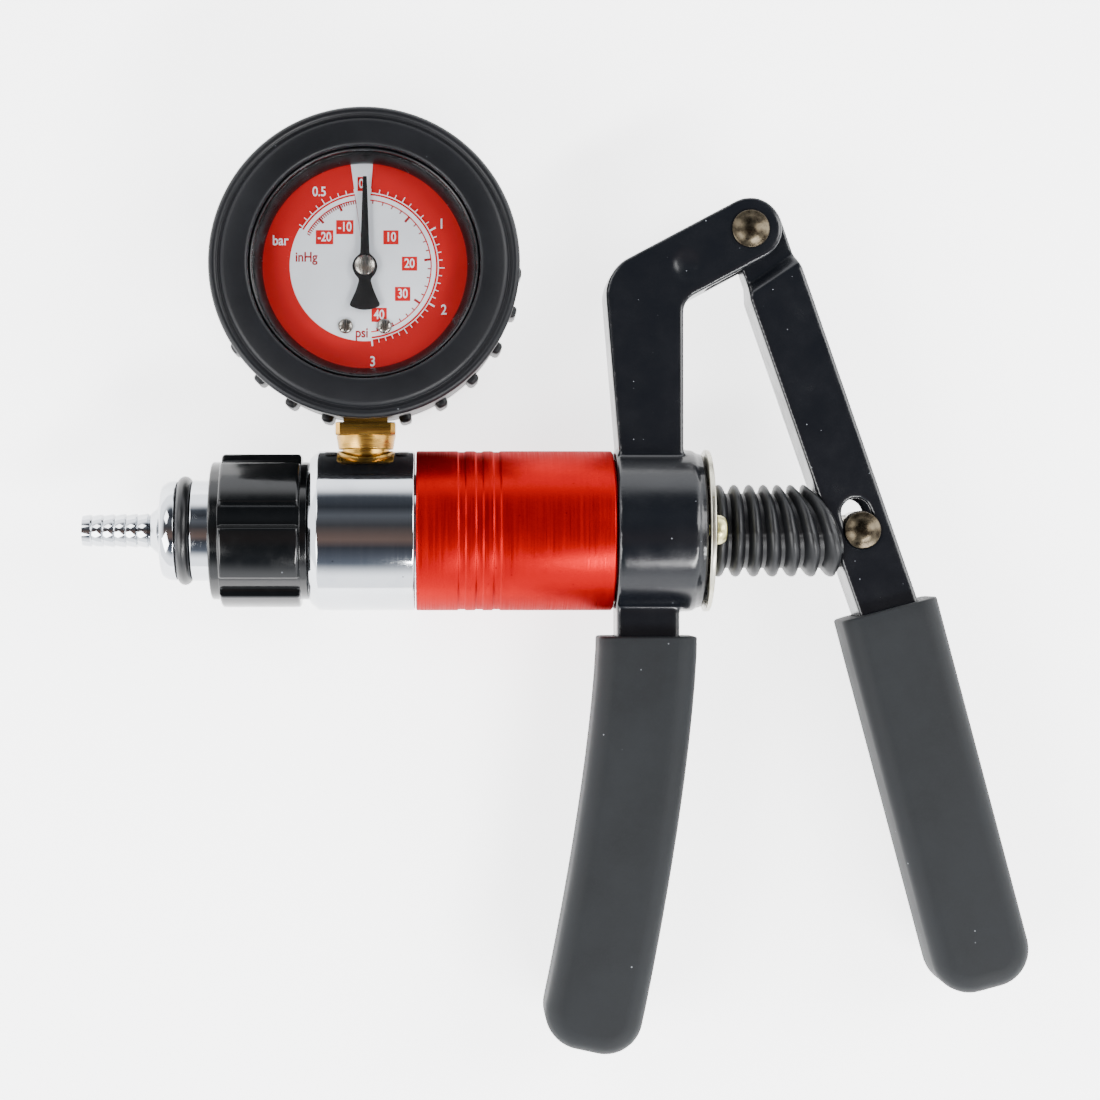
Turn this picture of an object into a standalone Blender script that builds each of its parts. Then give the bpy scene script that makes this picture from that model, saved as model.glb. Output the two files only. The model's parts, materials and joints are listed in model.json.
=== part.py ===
"""Hand vacuum pump with a dial gauge, lying on its side.

Build frame: +X runs along the barrel towards the lever, +Y up to the gauge, +Z out of the dial.
The barrel's axis is X, and X is zero where the frame's round boss meets the barrel.
"""

import math

import bmesh
import bpy
from mathutils import Euler, Matrix, Vector

MM = 0.001

# Gaps and cuts
CLEARANCE = 0.3 * MM
OVERRUN = 4.0 * MM

# Barrel
BARREL_RADIUS = 20.0 * MM
BARREL_LENGTH = 49.7 * MM
BARREL_WALL = 5.0 * MM
BARREL_SPIGOT_STEP = 2.6 * MM
BARREL_SPIGOT_LENGTH = 14.0 * MM
BARREL_EDGE = 0.5 * MM
BAND_COUNT = 3
BAND_WIDTH = 2.1 * MM
BAND_PITCH = 4.35 * MM
BAND_DEPTH = 0.35 * MM
BAND_START = 10.6 * MM

# Frame casting: round boss, arm up to the pivot, stem down into the grip
BOSS_STEP = 0.25 * MM
BOSS_LENGTH = 20.1 * MM
BOSS_EDGE = 0.8 * MM
SHOULDER_STEP = 0.95 * MM
SHOULDER_LENGTH = 2.3 * MM
BOSS_END_WALL = 6.4 * MM
FRAME_THICKNESS = 17.0 * MM
FRAME_EDGE = 0.8 * MM
ARM_FOOT_LEFT = 0.9 * MM
ARM_FOOT_RIGHT = 17.1 * MM
ARM_SLOPE = math.radians(28.0)
ARM_ELBOW_RADIUS = 6.5 * MM
ARM_INNER_RADIUS = 2.2 * MM
ARM_EYE_RADIUS = 7.9 * MM
PIVOT_ALONG = 33.8 * MM
PIVOT_HEIGHT = 75.0 * MM
FORK_GAP = 10.6 * MM
FORK_DEPTH = 15.5 * MM
DIMPLE_RADIUS = 2.2 * MM
DIMPLE_DEPTH = 0.7 * MM
DIMPLE_ALONG = 17.15 * MM
DIMPLE_HEIGHT = 67.4 * MM
STEM_LEFT = 0.5 * MM
STEM_WIDTH = 15.7 * MM
STEM_THICKNESS = 15.0 * MM
STEM_END_MARGIN = 12.0 * MM
STEM_END_RADIUS = 4.0 * MM
ARM_LEAN = math.radians(4.7)

# Fixed grip, bent along a centreline through these places
GRIP_WIDTH = 24.6 * MM
GRIP_DEPTH = 22.0 * MM
GRIP_EDGE = 5.0 * MM
GRIP_TOP_DROP = 26.4 * MM
FIXED_GRIP_LENGTH = 103.0 * MM
FIXED_GRIP_LEAN = 15.5 * MM
GRIP_BEND_SHARE = 1.45
GRIP_END_RADIUS = 9.5 * MM

# Lever: channel pressed from sheet, straight down to its rubber grip
LEVER_WIDTH = 15.0 * MM
LEVER_THICKNESS = 15.0 * MM
LEVER_SHEET = 2.0 * MM
LEVER_EDGE = 0.7 * MM
LEVER_ANGLE = math.radians(19.1)
LEVER_SHOULDER_LEFT = 16.3 * MM
LEVER_SHOULDER_RIGHT = 12.5 * MM
LEVER_EYE_RADIUS = 6.8 * MM
LEVER_NECK_INSET = 0.8 * MM
LEVER_BEND_AT = 100.6 * MM
LEVER_GRIP_ANGLE = math.radians(14.8)
LEVER_TONGUE_LENGTH = 84.0 * MM
LEVER_GRIP_LENGTH = 98.0 * MM
LEVER_CLOSING = math.radians(12.0)
LEVER_SLOT_WIDTH = 7.4 * MM
LEVER_SLOT_SPARE = 0.4 * MM
LEVER_ROOF = 4.0 * MM
ROD_DOORWAY_SPARE = 1.0 * MM

# Rivets
RIVET_RADIUS = 3.1 * MM
RIVET_HEAD_RADIUS = 4.7 * MM
RIVET_HEAD_HEIGHT = 1.8 * MM
PIN_RADIUS = 2.9 * MM
PIN_HEAD_RADIUS = 4.6 * MM
PIN_HEAD_HEIGHT = 1.9 * MM

# Piston rod, piston and spring
ROD_RADIUS = 4.0 * MM
PIN_ALONG = 61.7 * MM
ROD_EYE_RADIUS = 5.0 * MM
ROD_EYE_THICKNESS = 9.6 * MM
ROD_THREAD_RADIUS = 3.0 * MM
PISTON_LENGTH = 7.0 * MM
PISTON_FROM_WALL = 2.5 * MM
PISTON_SEAL_SECTION = 2.6 * MM
PISTON_NUT_LENGTH = 3.5 * MM
PISTON_NUT_WIDTH = 9.0 * MM
PISTON_WASHER_THICKNESS = 1.2 * MM
PISTON_WASHER_RADIUS = 6.5 * MM
SPRING_WIRE = 1.5 * MM
SPRING_RADIUS = 10.5 * MM
SPRING_TURNS = 7
SPRING_STEPS = 9
ROD_BUSH_WALL = 1.6 * MM

# End cap and its screws
END_CAP_STEP = 0.05 * MM
END_CAP_THICKNESS = 1.4 * MM
CAP_SCREW_INSET = 3.7 * MM
CAP_SCREW_HEAD_RADIUS = 3.6 * MM
CAP_SCREW_HEAD_HEIGHT = 2.5 * MM
CAP_SCREW_RADIUS = 1.5 * MM
CAP_SCREW_REACH = 5.0 * MM
RECESS_WIDTH = 0.9 * MM
RECESS_DEPTH = 1.0 * MM

# Bellows
BELLOWS_SPARE = 0.4 * MM
BELLOWS_RIB_HEIGHT = 2.2 * MM
BELLOWS_RIBS = 7
BELLOWS_WALL = 1.1 * MM
BELLOWS_CREST_WIDTH = 1.4 * MM
BELLOWS_MIDDLE_SHARE = 0.5
LEAN_GROWTH_SHARE = 1.6

# Head, collar and hose nozzle
HEAD_LENGTH = 26.1 * MM
HEAD_CHAMFER_LENGTH = 2.2 * MM
HEAD_CHAMFER_DEPTH = 1.8 * MM
HEAD_BORE_RADIUS = 5.0 * MM
HEAD_PLUG_LENGTH = 24.0 * MM
HEAD_SEAL_SECTION = 2.4 * MM
HEAD_THREAD_RADIUS = 14.7 * MM
HEAD_SEAL_FROM_END = 6.0 * MM
COLLAR_REAR_LENGTH = 1.9 * MM
COLLAR_LOBE_LENGTH = 19.9 * MM
COLLAR_FRONT_LENGTH = 2.5 * MM
COLLAR_RING_RADIUS = 17.25 * MM
COLLAR_CREST_RADIUS = 19.2 * MM
COLLAR_GROOVE_RADIUS = 17.35 * MM
COLLAR_LOBES = 6
COLLAR_LOBE_SHARE = 0.7
COLLAR_LOBE_TURN = math.radians(19.0)
COLLAR_EDGE = 0.8 * MM
COLLAR_FRONT_WALL = 7.0 * MM
NOZZLE_FLANGE_LENGTH = 3.5 * MM
NOZZLE_BODY_RADIUS = 12.6 * MM
NOZZLE_BODY_LENGTH = 12.2 * MM
NOZZLE_GROOVE_LENGTH = 3.7 * MM
NOZZLE_SEAL_SECTION = 3.5 * MM
NOZZLE_SEAL_RADIUS = 11.9 * MM
NOZZLE_RIM_RADIUS = 12.5 * MM
NOZZLE_RIM_LENGTH = 1.8 * MM
NOZZLE_FACE_RADIUS = 11.4 * MM
NOZZLE_FACE_LENGTH = 2.1 * MM
NOZZLE_CONE_RADIUS = 6.2 * MM
NOZZLE_CONE_STEP = 0.4 * MM
NOZZLE_CONE_LENGTH = 2.4 * MM
NOZZLE_BORE_RADIUS = 2.3 * MM
BARB_COUNT = 6
BARB_PITCH = 2.85 * MM
BARB_ROOT_RADIUS = 4.35 * MM
BARB_TIP_RADIUS = 4.0 * MM
BARB_NOTCH_DEPTH = 0.5 * MM
BARB_NOTCH_WIDTH = 0.5 * MM
VALVE_RADIUS = 8.0 * MM
VALVE_SEAT_THICKNESS = 2.0 * MM
VALVE_FLAP_THICKNESS = 0.8 * MM
VALVE_STUD_RADIUS = 1.2 * MM
VALVE_PORT_RADIUS = 1.4 * MM
VALVE_PORT_CIRCLE = 4.2 * MM
VALVE_PORTS = 4

# Gauge
GAUGE_FROM_HEAD = 13.8 * MM
GAUGE_LIFT = 7.2 * MM
GAUGE_DEPTH = 40.3 * MM
CASE_RADIUS = 32.0 * MM
CASE_WALL = 0.8 * MM
BOOT_WALL = 5.5 * MM
BOOT_RIM_STEP = 0.6 * MM
BOOT_BEAD = 1.6 * MM
BOOT_GROOVE_STEP = 3.6 * MM
BOOT_GROOVE_DEPTH = 1.3 * MM
BOOT_BAND_STEP = 2.8 * MM
BOOT_LIP_REACH = 3.5 * MM
BOOT_LIP_THICKNESS = 2.9 * MM
BOOT_DOME = 0.6 * MM
BOOT_BACK_EDGE = 3.0 * MM
BOOT_BACK_WALL = 2.4 * MM
BOOT_BACK_HOLE = 12.0 * MM
BOOT_RIB_COUNT = 24
BOOT_RIB_WIDTH = 3.2 * MM
BOOT_RIB_HEIGHT = 1.7 * MM
BOOT_RIB_TOP = 14.0 * MM
LENS_INSET = 2.5 * MM
LENS_THICKNESS = 1.6 * MM
BEZEL_LEDGE_INSET = 4.7 * MM
BEZEL_FOOT_INSET = 6.8 * MM
DIAL_DEPTH = 10.0 * MM
DIAL_THICKNESS = 0.8 * MM
DIAL_HOLE_RADIUS = 1.6 * MM
DIAL_SCREW_RADIUS = 1.5 * MM
DIAL_SCREW_HEIGHT = 0.9 * MM
DIAL_SCREW_SPREAD = 9.6 * MM
DIAL_SCREW_SHANK = 0.7 * MM
POINTER_TAIL = 10.5 * MM
POINTER_TAIL_WIDTH = 6.9 * MM
POINTER_WAIST = 1.6 * MM
POINTER_TIP_WIDTH = 0.66 * MM
POINTER_HUB_RADIUS = 3.1 * MM
POINTER_THICKNESS = 0.5 * MM
POINTER_ABOVE_DIAL = 1.4 * MM
POINTER_CAP_RADIUS = 2.5 * MM
POINTER_CAP_HEIGHT = 0.9 * MM
SPINDLE_RADIUS = 0.8 * MM
PINION_RADIUS = 2.2 * MM
MOVEMENT_PLATE = 1.5 * MM
MOVEMENT_GAP = 4.0 * MM
MOVEMENT_BELOW_DIAL = 2.2 * MM
PILLAR_RADIUS = 1.4 * MM
SECTOR_RADIUS = 9.1 * MM
SECTOR_HALF_ANGLE = math.radians(48.0)
SECTOR_THICKNESS = 1.2 * MM
SECTOR_HUB_RADIUS = 2.2 * MM
TUBE_SECTION = 4.4 * MM
TUBE_END_SHARE = 0.15
TUBE_SWEEP = math.radians(235.0)

# Brass stem of the gauge
STEM_SQUARE = 14.9 * MM
STEM_SQUARE_EDGE = 1.0 * MM
STEM_NECK_RADIUS = 7.0 * MM
STEM_THREAD_RADIUS = 5.9 * MM
STEM_THREAD_REACH = 6.0 * MM
STEM_PASSAGE_RADIUS = 1.5 * MM
STEM_BLOCK_WIDTH = 11.0 * MM
STEM_BLOCK_DEPTH = 10.0 * MM

# How finely round pieces are faceted
LARGE_FACETS = 32
MIDDLE_FACETS = 20
SMALL_FACETS = 12
CORNER_STEPS = 4
BOOT_FACETS = 40
BELLOWS_FACETS = 20
O_RING_SIDES = 6
NUT_SIDES = 6
GRIP_STEPS = 7
DOME_STEPS = 4
HUB_STEPS = 12
SECTOR_STEPS = 10
TUBE_STEPS = 24
MERGE_DISTANCE = 0.005 * MM

# Shares of the gauge case's radius
DIAL_SCREW_DROP_SHARE = 0.4656
POINTER_REACH_SHARE = 0.6875
MOVEMENT_WIDTH_SHARE = 0.75
MOVEMENT_TOP_SHARE = 0.2188
MOVEMENT_FOOT_SHARE = 0.5938
TUBE_RADIUS_SHARE = 0.75
STEM_BLOCK_SHARE = 0.478

# Shares of a part's own size
STEM_CONE_SHARE = 0.528
COLLAR_FLANK_SHARES = ((-1.0, 0.0), (-0.93, 0.67), (-0.8, 1.0), (-0.4, 1.0), (0.0, 1.0))
RIB_CROWN_SHARES = ((-1.0, 0.0), (-0.75, 0.7), (0.0, 1.0), (0.75, 0.7), (1.0, 0.0))
SCREW_CROWN_SHARE = 0.6
RECESS_REACH_SHARE = 0.65
TAIL_ROOT_SHARE = 0.55
TAIL_SHOULDER_SHARE = 0.9

# Places and sizes that follow from these
barrel_bore_radius = BARREL_RADIUS - BARREL_WALL
barrel_spigot_radius = BARREL_RADIUS - BARREL_SPIGOT_STEP
boss_radius = BARREL_RADIUS + BOSS_STEP
shoulder_radius = boss_radius - SHOULDER_STEP
end_cap_radius = boss_radius + END_CAP_STEP
cap_screw_circle = shoulder_radius - CAP_SCREW_INSET
bellows_crest = cap_screw_circle - CAP_SCREW_HEAD_RADIUS - BELLOWS_SPARE
bellows_valley = bellows_crest - BELLOWS_RIB_HEIGHT
barrel_left = -BARREL_LENGTH
head_left = barrel_left - HEAD_LENGTH
frame_right = BOSS_LENGTH + SHOULDER_LENGTH
end_wall_left = frame_right - BOSS_END_WALL
collar_right = head_left - CLEARANCE
lobes_right = collar_right - COLLAR_REAR_LENGTH
lobes_left = lobes_right - COLLAR_LOBE_LENGTH
collar_left = lobes_left - COLLAR_FRONT_LENGTH
nozzle_flange_left = collar_left + COLLAR_FRONT_WALL + CLEARANCE
nozzle_right = nozzle_flange_left + NOZZLE_FLANGE_LENGTH
cap_left = frame_right + CLEARANCE
cap_right = cap_left + END_CAP_THICKNESS
boot_side_radius = CASE_RADIUS + BOOT_WALL
boot_rim_radius = boot_side_radius + BOOT_RIM_STEP
gauge_height = BARREL_RADIUS + GAUGE_LIFT + boot_rim_radius
stem_cone_top = BARREL_RADIUS + GAUGE_LIFT * STEM_CONE_SHARE
dial_screw_drop = CASE_RADIUS * DIAL_SCREW_DROP_SHARE
movement_top = CASE_RADIUS * MOVEMENT_TOP_SHARE
gauge_along = head_left + GAUGE_FROM_HEAD
gauge_back = -end_cap_radius
gauge_front = gauge_back + GAUGE_DEPTH
dial_top = gauge_front - DIAL_DEPTH
dial_bottom = dial_top - DIAL_THICKNESS
case_back = gauge_back + BOOT_BACK_WALL + CLEARANCE
lens_top = gauge_front - BOOT_LIP_THICKNESS - CLEARANCE
piston_right = end_wall_left - PISTON_FROM_WALL
piston_left = piston_right - PISTON_LENGTH
plug_right = barrel_left + HEAD_PLUG_LENGTH
head_seal_at = barrel_left + HEAD_SEAL_FROM_END
valve_left = plug_right - VALVE_SEAT_THICKNESS - VALVE_FLAP_THICKNESS - 2 * CLEARANCE
rod_left = piston_left - PISTON_WASHER_THICKNESS - PISTON_NUT_LENGTH - 3 * CLEARANCE
gauge_block_top = gauge_height - CASE_RADIUS * (1.0 - STEM_BLOCK_SHARE)
stem_middle = STEM_LEFT + STEM_WIDTH / 2
gauge_place = (gauge_along, gauge_height, 0.0)
sector_place = (gauge_along, gauge_height - SECTOR_RADIUS - PINION_RADIUS - CLEARANCE, 0.0)
ORIGIN = (0.0, 0.0, 0.0)
pivot = Vector((PIVOT_ALONG, PIVOT_HEIGHT, 0.0))
lever_down = Vector((math.sin(LEVER_ANGLE), -math.cos(LEVER_ANGLE), 0.0))
lever_across = Vector((math.cos(LEVER_ANGLE), math.sin(LEVER_ANGLE), 0.0))
pin_from_pivot = Vector((PIN_ALONG, 0.0, 0.0)) - pivot
pin_down = pin_from_pivot.dot(lever_down)
pin_across = pin_from_pivot.dot(lever_across)
closed_angle = LEVER_ANGLE - LEVER_CLOSING
pin_down_closed = PIVOT_HEIGHT / math.cos(closed_angle) + pin_across * math.tan(closed_angle)


def clear_scene():
    for thing in list(bpy.data.objects):
        bpy.data.objects.remove(thing, do_unlink=True)


def new_collection(name):
    made = bpy.data.collections.new(name)
    bpy.context.scene.collection.children.link(made)
    return made


def finish_named(name, colour, roughness, metallic=0.0):
    """A Principled material of one colour, given in linear RGB."""
    made = bpy.data.materials.new(name)
    made.use_nodes = True
    shader = made.node_tree.nodes["Principled BSDF"]
    shader.inputs["Base Color"].default_value = (*colour, 1.0)
    shader.inputs["Roughness"].default_value = roughness
    shader.inputs["Metallic"].default_value = metallic
    made.diffuse_color = (*colour, 1.0)
    return made


def empty(name, place=(0.0, 0.0, 0.0), parent=None):
    made = bpy.data.objects.new(name, None)
    pump.objects.link(made)
    made.location = place
    made.parent = parent
    return made


def place_object(name, data, holder, place, turn=(0.0, 0.0, 0.0)):
    """Links an object under its holder. The place is given in the build frame."""
    made = bpy.data.objects.new(name, data)
    pump.objects.link(made)
    made.parent = holder
    made.location = Vector(place) - holder_place[holder.name]
    made.rotation_euler = turn
    return made


def dress(piece, finish):
    piece.data.materials.clear()
    piece.data.materials.append(finish)
    return piece


def as_cutter(piece):
    """Makes a shape a hidden helper for a Boolean."""
    pump.objects.unlink(piece)
    cutters.objects.link(piece)
    piece.hide_render = True
    piece.display_type = "WIRE"
    return piece


def combine(piece, other, operation):
    step = piece.modifiers.new(f"{operation.lower()}_{other.name}", "BOOLEAN")
    step.operation = operation
    step.object = other
    step.solver = "EXACT"


def cut(piece, *others):
    for other in others:
        combine(piece, as_cutter(other), "DIFFERENCE")
    return piece


def join(piece, *others):
    for other in others:
        combine(piece, as_cutter(other), "UNION")
    return piece


ALONG_X = (0.0, math.radians(90.0), 0.0)
ALONG_Y = (math.radians(-90.0), 0.0, 0.0)
ALONG_Z = (0.0, 0.0, 0.0)


def turned(name, profile, holder, place, turn=ALONG_X, facets=LARGE_FACETS, ring=False):
    """A lathe shape: (radius, station) pairs running down the outer side, then up the bore of a ring."""
    mesh = bpy.data.meshes.new(name)
    points = [(radius, 0.0, station) for radius, station in profile]
    edges = [(i, i + 1) for i in range(len(points) - 1)]
    if ring:
        edges.append((len(points) - 1, 0))
    mesh.from_pydata(points, edges, [])
    made = place_object(name, mesh, holder, place, turn)
    lathe = made.modifiers.new("lathe", "SCREW")
    lathe.angle = math.tau
    lathe.steps = facets
    lathe.render_steps = facets
    lathe.use_merge_vertices = True
    lathe.merge_threshold = MERGE_DISTANCE
    lathe.use_smooth_shade = True
    return made


def cylinder(name, radius, low, high, holder, place, turn=ALONG_X, facets=SMALL_FACETS):
    """A solid cylinder between two stations on its own axis."""
    profile = [(0.0, high), (radius, high), (radius, low), (0.0, low)]
    return turned(name, profile, holder, place, turn, facets)


def tube(name, outer, inner, low, high, holder, place, turn=ALONG_X, facets=LARGE_FACETS):
    profile = [(outer, high), (outer, low), (inner, low), (inner, high)]
    return turned(name, profile, holder, place, turn, facets, ring=True)


def block(name, low, high, holder, place=None, turn=ALONG_Z):
    """A box between two corners, given from its place and in its own directions."""
    mesh = bpy.data.meshes.new(name)
    shape = bmesh.new()
    bmesh.ops.create_cube(shape, size=1.0)
    low, high = Vector(low), Vector(high)
    size = Matrix.Diagonal((*(high - low), 1.0))
    bmesh.ops.transform(shape, matrix=Matrix.Translation((low + high) / 2) @ size, verts=shape.verts)
    shape.to_mesh(mesh)
    shape.free()
    return place_object(name, mesh, holder, place or (0.0, 0.0, 0.0), turn)


def rounded_outline(corners, steps=CORNER_STEPS):
    """The points of a closed outline whose corners, given as (place, radius), are rounded."""
    points = []
    for i, (corner, radius) in enumerate(corners):
        corner = Vector(corner[:2])
        before = Vector(corners[i - 1][0][:2]) - corner
        after = Vector(corners[(i + 1) % len(corners)][0][:2]) - corner
        if radius == 0.0:
            points.append(corner)
            continue
        half = before.angle(after) / 2
        reach = min(radius / math.tan(half), before.length / 2, after.length / 2)
        fillet = reach * math.tan(half)
        centre = corner + (before.normalized() + after.normalized()).normalized() * fillet / math.sin(half)
        start = corner + before.normalized() * reach - centre
        end = corner + after.normalized() * reach - centre
        sweep = start.angle_signed(end)
        for step in range(steps + 1):
            turn = Matrix.Rotation(-sweep * step / steps, 2)
            points.append(centre + turn @ start)
    return points


def plate(name, outline, low, high, holder, place=(0.0, 0.0, 0.0), edge=0.0, edge_steps=0, turn=ALONG_Z):
    """A flat outline with a thickness from low to high and, where edge is given, rounded rims."""
    flat = bpy.data.curves.new(name, "CURVE")
    flat.dimensions = "2D"
    flat.fill_mode = "BOTH"
    flat.extrude = (high - low) / 2 - edge
    flat.bevel_depth = edge
    flat.bevel_resolution = edge_steps
    flat.offset = -edge
    line = flat.splines.new("POLY")
    line.points.add(len(outline) - 1)
    for point, at in zip(line.points, outline):
        point.co = (at[0], at[1], 0.0, 1.0)
    line.use_cyclic_u = True
    middle = Euler(turn).to_matrix() @ Vector((0.0, 0.0, (low + high) / 2))
    guide = place_object(name + "_outline", flat, holder, Vector(place) + middle, turn)
    return solid_from_curve(name, guide)


def solid_from_curve(name, guide):
    """Turns a curve object into a closed mesh with its caps welded, and removes the curve."""
    bpy.context.view_layer.update()
    graph = bpy.context.evaluated_depsgraph_get()
    mesh = bpy.data.meshes.new_from_object(guide.evaluated_get(graph))
    mesh.name = name
    shape = bmesh.new()
    shape.from_mesh(mesh)
    bmesh.ops.remove_doubles(shape, verts=shape.verts, dist=MERGE_DISTANCE)
    bmesh.ops.recalc_face_normals(shape, faces=shape.faces)
    shape.to_mesh(mesh)
    shape.free()
    made = bpy.data.objects.new(name, mesh)
    pump.objects.link(made)
    made.parent = guide.parent
    made.location = guide.location
    made.rotation_euler = guide.rotation_euler
    data = guide.data
    bpy.data.objects.remove(guide, do_unlink=True)
    bpy.data.curves.remove(data)
    return made


def wire(name, points, radius, holder, place=(0.0, 0.0, 0.0), resolution=1, cyclic=False):
    """A round rod bent along its points."""
    path = bpy.data.curves.new(name, "CURVE")
    path.dimensions = "3D"
    path.bevel_depth = radius
    path.bevel_resolution = resolution
    path.use_fill_caps = not cyclic
    line = path.splines.new("POLY")
    line.points.add(len(points) - 1)
    for point, at in zip(line.points, points):
        point.co = (*at, 1.0)
    line.use_cyclic_u = cyclic
    guide = place_object(name + "_path", path, holder, place)
    return solid_from_curve(name, guide)


def o_ring(name, radius, section, holder, place, turn=ALONG_X):
    """A rubber ring: its mean radius and the diameter of its section."""
    profile = []
    for step in range(O_RING_SIDES):
        angle = -math.tau * step / O_RING_SIDES
        profile.append((radius + section / 2 * math.cos(angle), section / 2 * math.sin(angle)))
    return turned(name, profile, holder, place, turn, MIDDLE_FACETS, ring=True)


def half_turn_points(centre, radius, start, steps):
    """Points along a half circle, counterclockwise from the start angle."""
    angles = [start + math.pi * step / steps for step in range(steps + 1)]
    return [Vector((centre[0] + radius * math.cos(a), centre[1] + radius * math.sin(a))) for a in angles]


def meet(point, direction, other, other_direction):
    """Where two lines in the plane cross."""
    along = Vector((math.cos(direction), math.sin(direction)))
    normal = Vector((-math.sin(other_direction), math.cos(other_direction)))
    share = (Vector(other) - Vector(point)).dot(normal) / along.dot(normal)
    return Vector(point) + along * share


def in_lever(across, down):
    """A place in the build frame from the lever's own two directions, counted from its pivot."""
    place = pivot + lever_across * across + lever_down * down
    return (place.x, place.y)


def fixed_line(share):
    """The fixed grip's centreline at a share of its length, with the direction that it runs in."""
    bent = max(share, 0.0)
    x = stem_middle - FIXED_GRIP_LEAN * bent**GRIP_BEND_SHARE
    y = -GRIP_TOP_DROP - FIXED_GRIP_LENGTH * share
    lean = FIXED_GRIP_LEAN * GRIP_BEND_SHARE * bent ** (GRIP_BEND_SHARE - 1.0)
    return Vector((x, y)), Vector((-lean, -FIXED_GRIP_LENGTH)).normalized()


def lever_line(share):
    """The lever grip's centreline at a share of its length, with the direction that it runs in."""
    start = Vector(in_lever(pin_across, LEVER_BEND_AT))
    along = Vector((math.sin(LEVER_GRIP_ANGLE), -math.cos(LEVER_GRIP_ANGLE)))
    return start + along * LEVER_GRIP_LENGTH * share, along


def strip_outline(line, width, start, stop, end_radius, steps):
    """The outline of a strip that follows a centreline, with a rounded far end."""
    left, right = [], []
    for step in range(steps + 1):
        centre, along = line(start + (stop - start) * step / steps)
        side = Vector((along.y, -along.x)) * width / 2
        radius = end_radius if step == steps else 0.0
        left.append((centre + side, radius))
        right.append((centre - side, radius))
    return rounded_outline(left + right[::-1])


def join_outside_boss(casting, limb):
    """Joins a limb whose root ends in the middle of the boss's wall, clear of the bore."""
    wall_middle = (shoulder_radius + barrel_spigot_radius + CLEARANCE) / 2
    low, high = -OVERRUN, frame_right + OVERRUN
    cut(limb, cylinder(limb.name + "_root", wall_middle, low, high, body, ORIGIN, facets=LARGE_FACETS))
    join(casting, limb)


def make_frame_casting(finish):
    bush_hole = ROD_RADIUS + ROD_BUSH_WALL + 2 * CLEARANCE
    socket = barrel_spigot_radius + CLEARANCE
    boss = [
        (shoulder_radius, frame_right),
        (shoulder_radius, BOSS_LENGTH),
        (boss_radius - BOSS_EDGE, BOSS_LENGTH),
        (boss_radius, BOSS_LENGTH - BOSS_EDGE),
        (boss_radius, BOSS_EDGE),
        (boss_radius - BOSS_EDGE, 0.0),
        (socket, 0.0),
        (socket, BARREL_SPIGOT_LENGTH + CLEARANCE),
        (barrel_bore_radius, BARREL_SPIGOT_LENGTH + CLEARANCE),
        (barrel_bore_radius, end_wall_left),
        (bush_hole, end_wall_left),
        (bush_hole, frame_right),
    ]
    casting = turned("cast_frame", boss, body, ORIGIN, ring=True)
    eye = Vector((PIVOT_ALONG, PIVOT_HEIGHT))
    out = Vector((math.cos(ARM_SLOPE), math.sin(ARM_SLOPE))) * ARM_EYE_RADIUS
    up = Vector((-out.y, out.x))
    left_foot = Vector((ARM_FOOT_LEFT, boss_radius))
    right_foot = Vector((ARM_FOOT_RIGHT, boss_radius))
    left_way = math.pi / 2 + ARM_LEAN
    outer_elbow = meet(left_foot, left_way, eye + up, ARM_SLOPE)
    inner_elbow = meet(right_foot, math.pi / 2, eye - up, ARM_SLOPE)
    arm = rounded_outline(
        [
            (meet(left_foot, left_way, ORIGIN[:2], 0.0), 0.0),
            (outer_elbow, ARM_ELBOW_RADIUS),
            (eye + up + out, ARM_EYE_RADIUS),
            (eye - up + out, ARM_EYE_RADIUS),
            (inner_elbow, ARM_INNER_RADIUS),
            (meet(right_foot, math.pi / 2, ORIGIN[:2], 0.0), 0.0),
        ]
    )
    half = FRAME_THICKNESS / 2
    join_outside_boss(casting, plate("arm", arm, -half, half, body, edge=FRAME_EDGE))
    stem_stop = 1.0 - STEM_END_MARGIN / FIXED_GRIP_LENGTH
    stem_start = -(GRIP_TOP_DROP + OVERRUN) / FIXED_GRIP_LENGTH
    stem = strip_outline(fixed_line, STEM_WIDTH, stem_start, stem_stop, STEM_END_RADIUS, GRIP_STEPS)
    join_outside_boss(casting, plate("stem", stem, -STEM_THICKNESS / 2, STEM_THICKNESS / 2, body))
    reach = ARM_EYE_RADIUS + OVERRUN
    low, high = (-FORK_DEPTH, -reach, -FORK_GAP / 2), (reach, reach, FORK_GAP / 2)
    cut(casting, block("fork_gap", low, high, body, pivot, (0.0, 0.0, ARM_SLOPE)))
    hole = RIVET_RADIUS + CLEARANCE
    cut(casting, cylinder("pivot_hole", hole, -half - OVERRUN, half + OVERRUN, body, pivot, ALONG_Z))
    for side in (1, -1):
        place = (0.0, 0.0, side * cap_screw_circle)
        low = frame_right - CAP_SCREW_REACH - CLEARANCE
        hole = cylinder(
            f"cap_screw_hole_{side}", CAP_SCREW_RADIUS + CLEARANCE, low, frame_right + OVERRUN, body, place
        )
        cut(casting, hole)
    place = (DIMPLE_ALONG, DIMPLE_HEIGHT, 0.0)
    cut(casting, cylinder("dimple", DIMPLE_RADIUS, half - DIMPLE_DEPTH, half + OVERRUN, body, place, ALONG_Z))
    return dress(casting, finish)


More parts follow.
